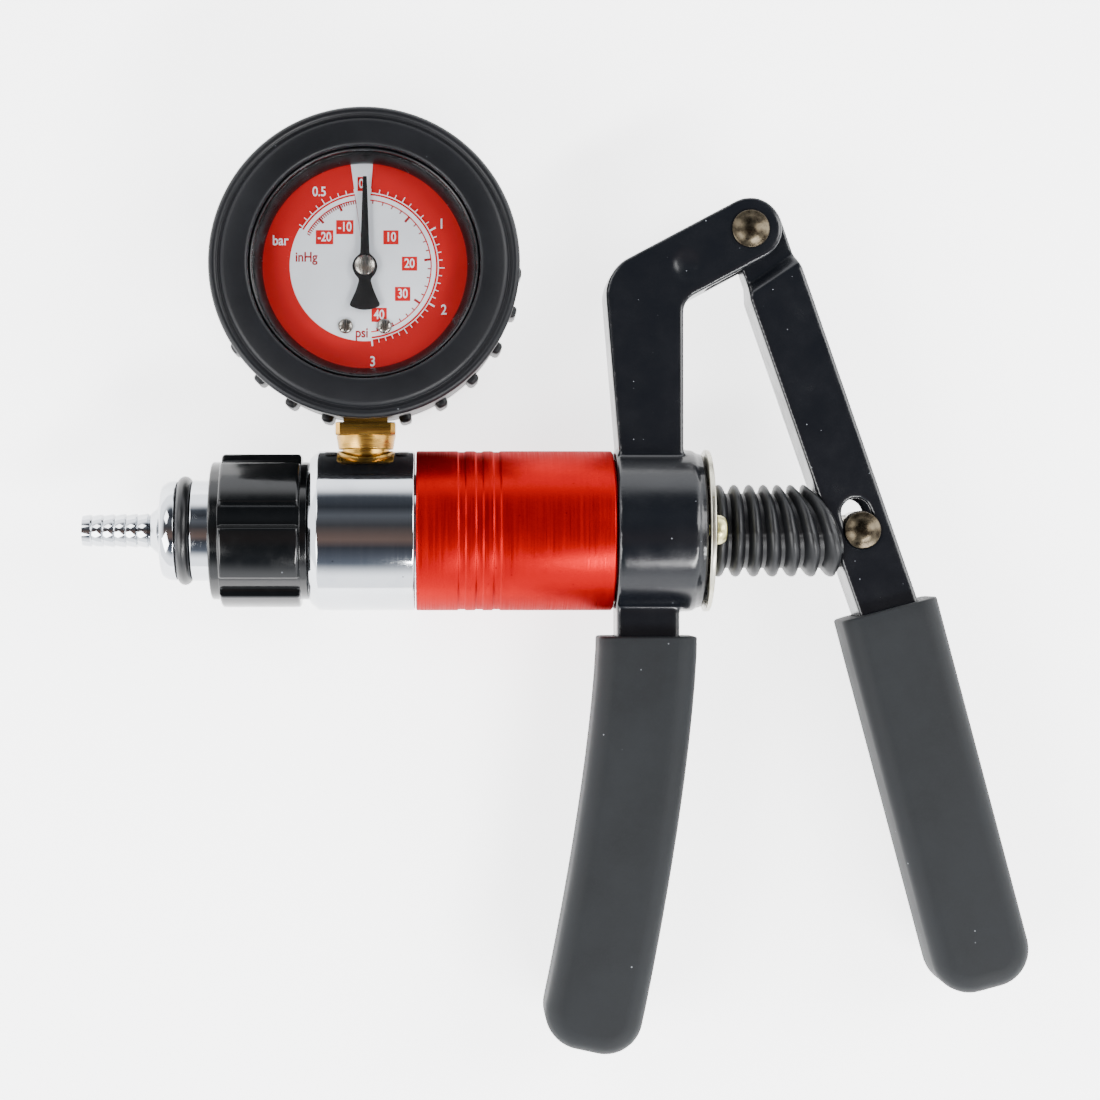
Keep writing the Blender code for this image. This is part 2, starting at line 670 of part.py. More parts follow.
def make_grip(name, line, length, tongue, holder, finish):
    """A moulded rubber sleeve, cut square at its mouth, over a tongue of given width, thickness and reach."""
    tongue_width, tongue_thickness, tongue_stop = tongue
    over = (GRIP_EDGE + OVERRUN) / length
    outside = strip_outline(line, GRIP_WIDTH, -over, 1.0, GRIP_END_RADIUS, GRIP_STEPS)
    half = GRIP_DEPTH / 2
    sleeve = plate(name, outside, -half, half, holder, edge=GRIP_EDGE, edge_steps=2)
    wide, stop = tongue_width + 2 * CLEARANCE, tongue_stop + CLEARANCE / length
    inside = strip_outline(line, wide, -over, stop, STEM_END_RADIUS, GRIP_STEPS)
    deep = tongue_thickness / 2 + CLEARANCE
    cut(sleeve, plate(name + "_pocket", inside, -deep, deep, holder))
    mouth, along = line(0.0)
    turn = math.atan2(along.x, -along.y)
    low = (-GRIP_WIDTH, 0.0, -GRIP_DEPTH)
    high = (GRIP_WIDTH, 2 * (GRIP_EDGE + OVERRUN), GRIP_DEPTH)
    cut(sleeve, block(name + "_mouth", low, high, holder, (*mouth, 0.0), (0.0, 0.0, turn)))
    return dress(sleeve, finish)


def make_lever(finish):
    left = pin_across - LEVER_WIDTH / 2
    right = pin_across + LEVER_WIDTH / 2
    half = LEVER_THICKNESS / 2
    along = Vector((math.sin(LEVER_GRIP_ANGLE), -math.cos(LEVER_GRIP_ANGLE)))
    side = Vector((-along.y, along.x)) * LEVER_WIDTH / 2
    bend = Vector(in_lever(pin_across, LEVER_BEND_AT))
    end = bend + along * LEVER_TONGUE_LENGTH
    outline = rounded_outline(
        [
            (in_lever(left, LEVER_SHOULDER_LEFT), 0.0),
            (bend - side, 0.0),
            (end - side, STEM_END_RADIUS),
            (end + side, STEM_END_RADIUS),
            (bend + side, 0.0),
            (in_lever(right, LEVER_SHOULDER_RIGHT), 0.0),
        ]
    )
    channel = plate("lever", outline, -half, half, lever_holder, edge=LEVER_EDGE)
    neck_half = FORK_GAP / 2 - CLEARANCE
    root = LEVER_ROOF / 2
    neck = rounded_outline(
        [
            (in_lever(left + LEVER_NECK_INSET, -LEVER_EYE_RADIUS), LEVER_EYE_RADIUS),
            (in_lever(left + LEVER_NECK_INSET, LEVER_SHOULDER_LEFT + root), 0.0),
            (in_lever(right - LEVER_NECK_INSET, LEVER_SHOULDER_RIGHT + root), 0.0),
            (in_lever(right - LEVER_NECK_INSET, -LEVER_EYE_RADIUS), LEVER_EYE_RADIUS),
        ]
    )
    hollow = rounded_outline(
        [
            (in_lever(left + LEVER_SHEET, LEVER_SHOULDER_LEFT + LEVER_ROOF), 0.0),
            (bend - side * (1.0 - 2 * LEVER_SHEET / LEVER_WIDTH), 0.0),
            (end - side * (1.0 - 2 * LEVER_SHEET / LEVER_WIDTH) - along * LEVER_SHEET, 0.0),
            (end + side + side.normalized() * OVERRUN - along * LEVER_SHEET, 0.0),
            (bend + side + side.normalized() * OVERRUN, 0.0),
            (in_lever(right + OVERRUN, LEVER_SHOULDER_RIGHT + LEVER_ROOF), 0.0),
        ]
    )
    inner = half - LEVER_SHEET
    cut(channel, plate("lever_hollow", hollow, -inner, inner, lever_holder))
    join(channel, plate("lever_neck", neck, -neck_half, neck_half, lever_holder))
    slot_half = LEVER_SLOT_WIDTH / 2
    top = pin_down_closed - LEVER_SLOT_SPARE - slot_half
    bottom = pin_down + LEVER_SLOT_SPARE + slot_half
    slot = rounded_outline(
        [
            (in_lever(pin_across - slot_half, top), slot_half),
            (in_lever(pin_across - slot_half, bottom), slot_half),
            (in_lever(pin_across + slot_half, bottom), slot_half),
            (in_lever(pin_across + slot_half, top), slot_half),
        ]
    )
    cut(channel, plate("lever_slot", slot, -half - OVERRUN, half + OVERRUN, lever_holder))
    doorway = ROD_RADIUS + ROD_DOORWAY_SPARE
    low = (left - OVERRUN, -pin_down - ROD_RADIUS, -doorway)
    high = (pin_across, -pin_down_closed + doorway, doorway)
    cut(channel, block("rod_doorway", low, high, lever_holder, pivot, (0.0, 0.0, LEVER_ANGLE)))
    hole = RIVET_RADIUS + CLEARANCE
    cut(channel, cylinder("lever_hole", hole, -half, half, lever_holder, pivot, ALONG_Z))
    return dress(channel, finish)


def make_rivet(name, radius, head_radius, head_height, grip_half, holder, place, finish):
    """A domed rivet with a formed head at each end, along Z."""
    dome = []
    for step in range(DOME_STEPS + 1):
        angle = math.pi / 2 * (1.0 - step / DOME_STEPS)
        rise = head_height * math.sin(angle)
        dome.append((head_radius * math.cos(angle), grip_half + CLEARANCE + rise))
    shank_top = grip_half + CLEARANCE
    profile = dome + [(radius, shank_top), (radius, -shank_top)]
    profile += [(reach, -station) for reach, station in reversed(dome)]
    return dress(turned(name, profile, holder, place, ALONG_Z, SMALL_FACETS), finish)


def make_barrel(finish):
    outside = [(BARREL_RADIUS - BARREL_EDGE, -CLEARANCE), (BARREL_RADIUS, -CLEARANCE - BARREL_EDGE)]
    for band in reversed(range(BAND_COUNT)):
        left = barrel_left + BAND_START + band * BAND_PITCH
        floor = BARREL_RADIUS - BAND_DEPTH
        outside += [
            (BARREL_RADIUS, left + BAND_WIDTH),
            (floor, left + BAND_WIDTH - BAND_DEPTH),
            (floor, left + BAND_DEPTH),
            (BARREL_RADIUS, left),
        ]
    outside += [
        (BARREL_RADIUS, barrel_left + CLEARANCE + BARREL_EDGE),
        (BARREL_RADIUS - BARREL_EDGE, barrel_left + CLEARANCE),
    ]
    bore = [(barrel_bore_radius, barrel_left + CLEARANCE), (barrel_bore_radius, BARREL_SPIGOT_LENGTH)]
    spigot = [(barrel_spigot_radius, BARREL_SPIGOT_LENGTH), (barrel_spigot_radius, -CLEARANCE)]
    return dress(turned("barrel", outside + bore + spigot, body, ORIGIN, ring=True), finish)


def make_head(finish):
    plug = barrel_bore_radius - CLEARANCE
    groove_floor = plug - HEAD_SEAL_SECTION - CLEARANCE
    groove_half = HEAD_SEAL_SECTION / 2 + CLEARANCE
    outside = [
        (plug, plug_right),
        (plug, head_seal_at + groove_half),
        (groove_floor, head_seal_at + groove_half),
        (groove_floor, head_seal_at - groove_half),
        (plug, head_seal_at - groove_half),
        (plug, barrel_left),
        (BARREL_RADIUS - BARREL_EDGE, barrel_left),
        (BARREL_RADIUS, barrel_left - BARREL_EDGE),
        (BARREL_RADIUS, head_left + HEAD_CHAMFER_LENGTH),
        (BARREL_RADIUS - HEAD_CHAMFER_DEPTH, head_left),
        (HEAD_THREAD_RADIUS, head_left),
        (HEAD_THREAD_RADIUS, nozzle_right + CLEARANCE),
    ]
    pocket = VALVE_RADIUS + CLEARANCE
    inside = [
        (HEAD_BORE_RADIUS, nozzle_right + CLEARANCE),
        (HEAD_BORE_RADIUS, valve_left - CLEARANCE),
        (pocket, valve_left - CLEARANCE),
        (pocket, plug_right),
    ]
    head = turned("head", outside + inside, body, ORIGIN, ring=True)
    place = (gauge_along, 0.0, 0.0)
    foot = BARREL_RADIUS - STEM_THREAD_REACH - CLEARANCE
    over = BARREL_RADIUS + OVERRUN
    port = [
        (0.0, over),
        (STEM_THREAD_RADIUS + CLEARANCE, over),
        (STEM_THREAD_RADIUS + CLEARANCE, foot),
        (STEM_PASSAGE_RADIUS, foot),
        (STEM_PASSAGE_RADIUS, 0.0),
        (0.0, 0.0),
    ]
    cut(head, turned("gauge_port", port, body, place, ALONG_Y, SMALL_FACETS))
    return dress(head, finish)


def make_valve(seat_finish, flap_finish):
    """The seat with its ports, and the rubber flap whose stud plugs into it."""
    seat_right = valve_left + VALVE_SEAT_THICKNESS
    seat = cylinder("valve_seat", VALVE_RADIUS, valve_left, seat_right, body, ORIGIN, facets=MIDDLE_FACETS)
    hole = VALVE_STUD_RADIUS + CLEARANCE
    cut(seat, cylinder("stud_hole", hole, valve_left - OVERRUN, seat_right + OVERRUN, body, ORIGIN))
    for port in range(VALVE_PORTS):
        angle = math.tau * port / VALVE_PORTS
        place = (0.0, VALVE_PORT_CIRCLE * math.cos(angle), VALVE_PORT_CIRCLE * math.sin(angle))
        low, high = valve_left - OVERRUN, seat_right + OVERRUN
        cut(seat, cylinder(f"valve_port_{port}", VALVE_PORT_RADIUS, low, high, body, place))
    dress(seat, seat_finish)
    flap_left = seat_right + CLEARANCE
    reach = VALVE_PORT_CIRCLE + VALVE_PORT_RADIUS + VALVE_STUD_RADIUS
    flap = [
        (0.0, flap_left + VALVE_FLAP_THICKNESS),
        (reach, flap_left + VALVE_FLAP_THICKNESS),
        (reach, flap_left),
        (VALVE_STUD_RADIUS, flap_left),
        (VALVE_STUD_RADIUS, valve_left),
        (0.0, valve_left),
    ]
    dress(turned("valve_flap", flap, body, ORIGIN, facets=SMALL_FACETS), flap_finish)


def make_nozzle(finish):
    body_left = nozzle_flange_left - NOZZLE_BODY_LENGTH
    groove_left = body_left - NOZZLE_GROOVE_LENGTH
    groove_floor = NOZZLE_SEAL_RADIUS - NOZZLE_SEAL_SECTION / 2 - CLEARANCE
    rim_left = groove_left - NOZZLE_RIM_LENGTH
    face_left = rim_left - NOZZLE_FACE_LENGTH
    cone_right = face_left - NOZZLE_CONE_STEP
    root = cone_right - NOZZLE_CONE_LENGTH
    profile = [
        (HEAD_THREAD_RADIUS, nozzle_right),
        (HEAD_THREAD_RADIUS, nozzle_flange_left),
        (NOZZLE_BODY_RADIUS, nozzle_flange_left),
        (NOZZLE_BODY_RADIUS, body_left),
        (groove_floor, body_left),
        (groove_floor, groove_left),
        (NOZZLE_RIM_RADIUS, groove_left),
        (NOZZLE_RIM_RADIUS, rim_left),
        (NOZZLE_FACE_RADIUS, face_left),
        (NOZZLE_CONE_RADIUS, cone_right),
        (BARB_ROOT_RADIUS, root),
    ]
    for barb in range(BARB_COUNT):
        share = barb / BARB_COUNT
        crest = BARB_ROOT_RADIUS + (BARB_TIP_RADIUS - BARB_ROOT_RADIUS) * share
        right = root - barb * BARB_PITCH
        profile += [
            (crest - BARB_NOTCH_DEPTH, right - BARB_NOTCH_WIDTH),
            (crest, right - 2 * BARB_NOTCH_WIDTH),
            (crest - BARB_NOTCH_DEPTH / 2, right - BARB_PITCH),
        ]
    tip = root - BARB_COUNT * BARB_PITCH
    profile += [(NOZZLE_BORE_RADIUS, tip), (NOZZLE_BORE_RADIUS, nozzle_right)]
    dress(turned("hose_nozzle", profile, body, ORIGIN, facets=MIDDLE_FACETS, ring=True), finish)
    return (body_left + groove_left) / 2


def make_collar(finish):
    """The hand nut: two plain rings and six broad lobes between them, free to turn."""
    ring = [
        (0.0, collar_right),
        (COLLAR_RING_RADIUS, collar_right),
        (COLLAR_RING_RADIUS, collar_left),
        (0.0, collar_left),
    ]
    collar = turned("coupling_collar", ring, collar_holder, ORIGIN)
    outline = []
    lobe_half = math.pi / COLLAR_LOBES * COLLAR_LOBE_SHARE
    rise = COLLAR_CREST_RADIUS - COLLAR_GROOVE_RADIUS
    flanks = COLLAR_FLANK_SHARES + tuple((-share, stand) for share, stand in COLLAR_FLANK_SHARES[-2::-1])
    for lobe in range(COLLAR_LOBES):
        middle = COLLAR_LOBE_TURN + math.tau * lobe / COLLAR_LOBES
        for share, stand in flanks:
            angle = middle + lobe_half * share
            radius = COLLAR_GROOVE_RADIUS + rise * stand
            outline.append((-radius * math.cos(angle), -radius * math.sin(angle)))
    lobes = plate("lobes", outline, lobes_left, lobes_right, collar_holder, edge=COLLAR_EDGE, turn=ALONG_X)
    join(collar, lobes)
    mouth = NOZZLE_BODY_RADIUS + CLEARANCE
    chamber = HEAD_THREAD_RADIUS + CLEARANCE
    bore = [
        (0.0, collar_right + OVERRUN),
        (chamber, collar_right + OVERRUN),
        (chamber, collar_left + COLLAR_FRONT_WALL),
        (mouth, collar_left + COLLAR_FRONT_WALL),
        (mouth, collar_left - OVERRUN),
        (0.0, collar_left - OVERRUN),
    ]
    cut(collar, turned("collar_bore", bore, collar_holder, ORIGIN))
    return dress(collar, finish)


def make_rod(finish):
    rod = cylinder("piston_rod", ROD_RADIUS, rod_left, PIN_ALONG, rod_holder, ORIGIN, facets=SMALL_FACETS)
    half = ROD_EYE_THICKNESS / 2
    pin_place = (PIN_ALONG, 0.0, 0.0)
    eye = cylinder("rod_eye", ROD_EYE_RADIUS, -half, half, rod_holder, pin_place, ALONG_Z, MIDDLE_FACETS)
    join(rod, eye)
    hole = PIN_RADIUS + CLEARANCE
    cut(rod, cylinder("eye_hole", hole, -half - OVERRUN, half + OVERRUN, rod_holder, pin_place, ALONG_Z))
    left = rod_left - OVERRUN
    collar = [
        (2 * ROD_RADIUS, piston_right),
        (2 * ROD_RADIUS, left),
        (ROD_THREAD_RADIUS, left),
        (ROD_THREAD_RADIUS, piston_right),
    ]
    cut(rod, turned("rod_step", collar, rod_holder, ORIGIN, facets=SMALL_FACETS, ring=True))
    return dress(rod, finish)


def make_piston(finish, seal_finish, steel):
    skirt = barrel_bore_radius - CLEARANCE
    seal_at = (piston_left + piston_right) / 2
    groove_half = PISTON_SEAL_SECTION / 2 + CLEARANCE
    groove_floor = skirt - PISTON_SEAL_SECTION - CLEARANCE
    bore = ROD_THREAD_RADIUS + CLEARANCE
    profile = [
        (skirt, piston_right - CLEARANCE),
        (skirt, seal_at + groove_half),
        (groove_floor, seal_at + groove_half),
        (groove_floor, seal_at - groove_half),
        (skirt, seal_at - groove_half),
        (skirt, piston_left),
        (bore, piston_left),
        (bore, piston_right - CLEARANCE),
    ]
    dress(turned("piston", profile, rod_holder, ORIGIN, ring=True), finish)
    mean = skirt - PISTON_SEAL_SECTION / 2
    dress(o_ring("piston_seal", mean, PISTON_SEAL_SECTION, rod_holder, (seal_at, 0.0, 0.0)), seal_finish)
    washer_right = piston_left - CLEARANCE
    washer_left = washer_right - PISTON_WASHER_THICKNESS
    washer = tube(
        "piston_washer", PISTON_WASHER_RADIUS, bore, washer_left, washer_right, rod_holder, ORIGIN,
        facets=MIDDLE_FACETS,
    )
    dress(washer, steel)
    nut_right = washer_left - CLEARANCE
    nut_radius = PISTON_NUT_WIDTH / 2 / math.cos(math.radians(30.0))
    nut_left = nut_right - PISTON_NUT_LENGTH
    nut = cylinder("piston_nut", nut_radius, nut_left, nut_right, rod_holder, ORIGIN, facets=NUT_SIDES)
    low, high = nut_left - OVERRUN, nut_right + OVERRUN
    cut(nut, cylinder("nut_bore", bore, low, high, rod_holder, ORIGIN, facets=MIDDLE_FACETS))
    dress(nut, steel)


def make_spring(finish):
    """The return spring, wound from the head's plug to the piston's face."""
    start = plug_right + CLEARANCE + SPRING_WIRE / 2
    stop = piston_left - CLEARANCE - SPRING_WIRE / 2
    steps = SPRING_TURNS * SPRING_STEPS
    points = []
    for step in range(steps + 1):
        angle = math.tau * step / SPRING_STEPS
        along = start + (stop - start) * step / steps
        points.append((along, SPRING_RADIUS * math.cos(angle), SPRING_RADIUS * math.sin(angle)))
    gap = (stop - start) / SPRING_TURNS - SPRING_WIRE
    print(f"return_spring: least gap between turns {gap / MM:.2f} mm")
    return dress(wire("return_spring", points, SPRING_WIRE / 2, rod_holder), finish)


def make_end_cap(finish, screw_finish, bush_finish):
    bush = ROD_RADIUS + ROD_BUSH_WALL + CLEARANCE
    cap_hole = bush + CLEARANCE
    cap = tube("end_cap", end_cap_radius, cap_hole, cap_left, cap_right, body, ORIGIN)
    for side in (1, -1):
        place = (0.0, 0.0, side * cap_screw_circle)
        hole = CAP_SCREW_RADIUS + CLEARANCE
        cut(cap, cylinder(f"cap_hole_{side}", hole, cap_left - OVERRUN, cap_right + OVERRUN, body, place))
        head_left_face = cap_right + CLEARANCE
        head_right = head_left_face + CAP_SCREW_HEAD_HEIGHT
        profile = [
            (0.0, head_right),
            (CAP_SCREW_HEAD_RADIUS * SCREW_CROWN_SHARE, head_right),
            (CAP_SCREW_HEAD_RADIUS, head_right - CAP_SCREW_HEAD_HEIGHT / 2),
            (CAP_SCREW_HEAD_RADIUS, head_left_face),
            (CAP_SCREW_RADIUS, head_left_face),
            (CAP_SCREW_RADIUS, frame_right - CAP_SCREW_REACH),
            (0.0, frame_right - CAP_SCREW_REACH),
        ]
        name = "cap_screw_front" if side > 0 else "cap_screw_back"
        screw = turned(name, profile, body, place, facets=SMALL_FACETS)
        arm = CAP_SCREW_HEAD_RADIUS * RECESS_REACH_SHARE
        for wing, (wide, tall) in enumerate(((arm, RECESS_WIDTH / 2), (RECESS_WIDTH / 2, arm))):
            low = (head_right - RECESS_DEPTH, -wide, -tall)
            high = (head_right + OVERRUN, wide, tall)
            cut(screw, block(f"{name}_recess_{wing}", low, high, body, place))
        dress(screw, screw_finish)
    dress(cap, finish)
    inner = ROD_RADIUS + CLEARANCE
    guide = tube("rod_bush", bush, inner, end_wall_left, cap_right, body, ORIGIN, facets=MIDDLE_FACETS)
    dress(guide, bush_finish)


def make_bellows(finish):
    """A ribbed rubber sleeve whose far end leans to lie along the lever's slanting web."""
    face = PIN_ALONG - LEVER_WIDTH / 2 / math.cos(LEVER_ANGLE)
    left = cap_right + CLEARANCE
    right = face - CLEARANCE / math.cos(LEVER_ANGLE)
    pitch = (right - left) / BELLOWS_RIBS
    slope = bellows_crest - bellows_valley
    outside = []
    for rib in range(BELLOWS_RIBS):
        middle = right - (rib + BELLOWS_MIDDLE_SHARE) * pitch
        outside += [
            (bellows_valley, right - rib * pitch),
            (bellows_crest, middle + BELLOWS_CREST_WIDTH / 2),
            (bellows_crest, middle - BELLOWS_CREST_WIDTH / 2),
        ]
    outside.append((bellows_valley, left))
    bore = bellows_valley - BELLOWS_WALL
    profile = outside + [(bore, left), (bore, right)]
    sleeve = turned("bellows", profile, rod_holder, ORIGIN, facets=BELLOWS_FACETS, ring=True)
    return dress(lean_end(sleeve, left + slope, right), finish)


def lean_end(sleeve, start, stop):
    """Shears a lathe shape along X, from nothing at the start to the lever's own lean at the stop."""
    bpy.context.view_layer.update()
    graph = bpy.context.evaluated_depsgraph_get()
    mesh = bpy.data.meshes.new_from_object(sleeve.evaluated_get(graph))
    sleeve.modifiers.clear()
    sleeve.data = mesh
    place = sleeve.rotation_euler.to_matrix()
    home = sleeve.location + holder_place[sleeve.parent.name]
    for vertex in mesh.vertices:
        at = place @ vertex.co + home
        share = min(max((at.x - start) / (stop - start), 0.0), 1.0)
        at.x -= at.y * math.tan(LEVER_ANGLE) * share**LEAN_GROWTH_SHARE
        vertex.co = place.inverted() @ (at - home)
    return sleeve


def make_gauge_stem(finish):
    """Brass stem: thread in the head, wrench square below the boot, block that carries the movement."""
    thread_end = BARREL_RADIUS - STEM_THREAD_REACH
    passage_reach = gauge_block_top + OVERRUN
    profile = [
        (0.0, stem_cone_top),
        (STEM_SQUARE / 2, stem_cone_top),
        (STEM_NECK_RADIUS, BARREL_RADIUS + CLEARANCE),
        (STEM_THREAD_RADIUS, BARREL_RADIUS + CLEARANCE),
        (STEM_THREAD_RADIUS, thread_end),
        (0.0, thread_end),
    ]
    place = (gauge_along, 0.0, 0.0)
    stem = turned("gauge_stem", profile, body, place, ALONG_Y, MIDDLE_FACETS)
    square = STEM_SQUARE / 2
    top = gauge_height - boot_rim_radius - CLEARANCE
    corners = [(-square, -square), (square, -square), (square, square), (-square, square)]
    outline = rounded_outline([(corner, STEM_SQUARE_EDGE) for corner in corners], 1)
    join(stem, plate("stem_square", outline, stem_cone_top - CLEARANCE, top, body, place, turn=ALONG_Y))
    half, deep = STEM_BLOCK_WIDTH / 2, STEM_BLOCK_DEPTH / 2
    low, high = (-half, top - CLEARANCE, -deep), (half, gauge_block_top, deep)
    join(stem, block("stem_block", low, high, body, place))
    low = thread_end - OVERRUN
    cut(stem, cylinder("stem_passage", STEM_PASSAGE_RADIUS, low, passage_reach, body, place, ALONG_Y))
    return dress(stem, finish)


def stem_opening(name, lowest, highest):
    """The rectangular way for the stem's block through a wall of the gauge."""
    half = STEM_BLOCK_WIDTH / 2 + CLEARANCE
    deep = STEM_BLOCK_DEPTH / 2 + CLEARANCE
    return block(name, (-half, lowest, -deep), (half, highest, deep), body, (gauge_along, 0.0, 0.0))


def make_boot(finish):
    """Ribbed rubber boot round the gauge, open over the dial and round a hole at the back."""
    band_top = gauge_front
    lip_bottom = gauge_front - BOOT_LIP_THICKNESS
    bead_top = gauge_front - BOOT_DOME
    side_top = gauge_front - BOOT_LIP_THICKNESS - BOOT_BEAD
    room = CASE_RADIUS + CLEARANCE
    lip, band = CASE_RADIUS - BOOT_LIP_REACH, CASE_RADIUS + BOOT_BAND_STEP
    profile = [
        (lip, lip_bottom),
        (lip, band_top),
        (band - BOOT_BEAD, band_top),
        (band, band_top - BOOT_DOME),
        (CASE_RADIUS + BOOT_GROOVE_STEP, band_top - BOOT_GROOVE_DEPTH),
        (boot_rim_radius - BOOT_BEAD, bead_top),
        (boot_rim_radius, bead_top - BOOT_BEAD),
        (boot_rim_radius, side_top),
        (boot_side_radius, side_top - BOOT_DOME),
        (boot_side_radius, gauge_back + BOOT_BACK_EDGE),
        (boot_side_radius - BOOT_BACK_EDGE, gauge_back),
        (BOOT_BACK_HOLE, gauge_back),
        (BOOT_BACK_HOLE, gauge_back + BOOT_BACK_WALL),
        (room, gauge_back + BOOT_BACK_WALL),
        (room, lip_bottom),
    ]
    boot = turned("gauge_boot", profile, body, gauge_place, ALONG_Z, BOOT_FACETS, ring=True)
    outline = []
    base = boot_side_radius - BOOT_DOME
    rise = BOOT_DOME + BOOT_RIB_HEIGHT
    half = BOOT_RIB_WIDTH / 2 / boot_side_radius
    for rib in range(BOOT_RIB_COUNT):
        middle = -math.pi / 2 + math.tau * rib / BOOT_RIB_COUNT
        for share, stand in RIB_CROWN_SHARES:
            angle = middle + half * share
            radius = base if rib == 0 else base + rise * stand
            outline.append((radius * math.cos(angle), radius * math.sin(angle)))
    low = gauge_back + BOOT_BACK_EDGE
    high = low + BOOT_RIB_TOP
    ribs = plate("boot_ribs", outline, low, high, body, gauge_place)
    wall_middle = (room + boot_side_radius) / 2
    low, high = low - OVERRUN, high + OVERRUN
    cut(ribs, cylinder("rib_ring", wall_middle, low, high, body, gauge_place, ALONG_Z, LARGE_FACETS))
    join(boot, ribs)
    lowest = gauge_height - boot_rim_radius - OVERRUN
    cut(boot, stem_opening("boot_stem_way", lowest, gauge_height - CASE_RADIUS + OVERRUN))
    return dress(boot, finish)


def make_case(finish, bezel_finish, lens_finish, dial_finish):
    inner = CASE_RADIUS - CASE_WALL
    cup = [
        (0.0, case_back + CASE_WALL),
        (inner, case_back + CASE_WALL),
        (inner, lens_top),
        (CASE_RADIUS, lens_top),
        (CASE_RADIUS, case_back),
        (0.0, case_back),
    ]
    case = turned("gauge_case", cup, body, gauge_place, ALONG_Z)
    low, high = gauge_height - CASE_RADIUS - OVERRUN, gauge_height - CASE_RADIUS + OVERRUN
    cut(case, stem_opening("case_stem_way", low, high))
    dress(case, finish)
    foot = dial_top + CLEARANCE
    lens_radius = CASE_RADIUS - LENS_INSET
    seat = lens_radius + CLEARANCE
    ledge = lens_top - LENS_THICKNESS - 2 * CLEARANCE
    outer = inner - CLEARANCE
    bezel = [
        (outer, lens_top - CLEARANCE),
        (outer, foot),
        (CASE_RADIUS - BEZEL_FOOT_INSET, foot),
        (CASE_RADIUS - BEZEL_LEDGE_INSET, ledge),
        (seat, ledge),
        (seat, lens_top - CLEARANCE),
    ]
    dress(turned("gauge_bezel", bezel, body, gauge_place, ALONG_Z, ring=True), bezel_finish)
    lens_bottom = ledge + CLEARANCE
    low, high = lens_bottom, lens_bottom + LENS_THICKNESS
    dress(cylinder("gauge_lens", lens_radius, low, high, body, gauge_place, ALONG_Z, LARGE_FACETS), lens_finish)
    dial = cylinder("gauge_dial", outer, dial_bottom, dial_top, body, gauge_place, ALONG_Z, LARGE_FACETS)
    low, high = dial_bottom - OVERRUN, dial_top + OVERRUN
    cut(dial, cylinder("dial_centre", DIAL_HOLE_RADIUS, low, high, body, gauge_place, ALONG_Z))
    for side in (-1, 1):
        hole = DIAL_SCREW_SHANK + CLEARANCE
        cut(dial, cylinder(f"dial_hole_{side}", hole, low, high, body, dial_screw_place(side), ALONG_Z))
    dress(dial, dial_finish)


def dial_screw_place(side):
    return Vector((gauge_along + side * DIAL_SCREW_SPREAD / 2, gauge_height - dial_screw_drop, 0.0))


def make_dial_screws(finish):
    for side, name in ((-1, "dial_screw_left"), (1, "dial_screw_right")):
        foot = dial_top + CLEARANCE
        profile = [
            (0.0, foot + DIAL_SCREW_HEIGHT),
            (DIAL_SCREW_RADIUS * SCREW_CROWN_SHARE, foot + DIAL_SCREW_HEIGHT),
            (DIAL_SCREW_RADIUS, foot + DIAL_SCREW_HEIGHT / 2),
            (DIAL_SCREW_RADIUS, foot),
            (DIAL_SCREW_SHANK, foot),
            (DIAL_SCREW_SHANK, dial_bottom - MOVEMENT_BELOW_DIAL / 2),
            (0.0, dial_bottom - MOVEMENT_BELOW_DIAL / 2),
        ]
        dress(turned(name, profile, body, dial_screw_place(side), ALONG_Z, SMALL_FACETS), finish)


def make_movement(finish, tube_finish):
    """Two brass plates on pillars, with posts up to the dial, and the curved pressure tube round them."""
    top = dial_bottom - MOVEMENT_BELOW_DIAL
    upper = top - MOVEMENT_PLATE
    lower_top = upper - MOVEMENT_GAP
    half = CASE_RADIUS * MOVEMENT_WIDTH_SHARE / 2
    foot = CASE_RADIUS * MOVEMENT_FOOT_SHARE
    centre = Vector((gauge_along, gauge_height, 0.0))
    frame = block("movement_frame", (-half, -foot, upper), (half, movement_top, top), body, centre)
    lower_foot = gauge_block_top + CLEARANCE - gauge_height
    low, high = (-half, lower_foot, lower_top - MOVEMENT_PLATE), (half, movement_top, lower_top)
    join(frame, block("lower_plate", low, high, body, centre))
    inset = 2 * PILLAR_RADIUS
    for column, x in enumerate((-half + inset, half - inset)):
        for row, y in enumerate((lower_foot + inset, movement_top - inset)):
            place = centre + Vector((x, y, 0.0))
            low, high = lower_top - CLEARANCE, upper + CLEARANCE
            join(frame, cylinder(f"pillar_{column}{row}", PILLAR_RADIUS, low, high, body, place, ALONG_Z))
    for side in (-1, 1):
        place = dial_screw_place(side)
        post_top = dial_bottom - CLEARANCE
        bore = DIAL_SCREW_SHANK + CLEARANCE
        outer = DIAL_SCREW_RADIUS + CLEARANCE
        low = top - CLEARANCE
        join(frame, tube(f"dial_post_{side}", outer, bore, low, post_top, body, place, ALONG_Z, SMALL_FACETS))
    low, high = lower_top - MOVEMENT_PLATE - OVERRUN, top + OVERRUN
    for name, place in (("spindle", centre), ("arbor", Vector(sector_place))):
        hole = SPINDLE_RADIUS + CLEARANCE
        cut(frame, cylinder(f"{name}_hole", hole, low, high, body, place, ALONG_Z))
    dress(frame, finish)
    tube_radius = CASE_RADIUS * TUBE_RADIUS_SHARE
    beside_block = STEM_BLOCK_WIDTH / 2 + CLEARANCE + TUBE_SECTION * TUBE_END_SHARE
    start = -math.pi / 2 + math.asin(beside_block / tube_radius)
    points = []
    for step in range(TUBE_STEPS + 1):
        angle = start + TUBE_SWEEP * step / TUBE_STEPS
        points.append((tube_radius * math.cos(angle), tube_radius * math.sin(angle), 0.0))
    dress(wire("bourdon_tube", points, TUBE_SECTION / 2, body, centre), tube_finish)


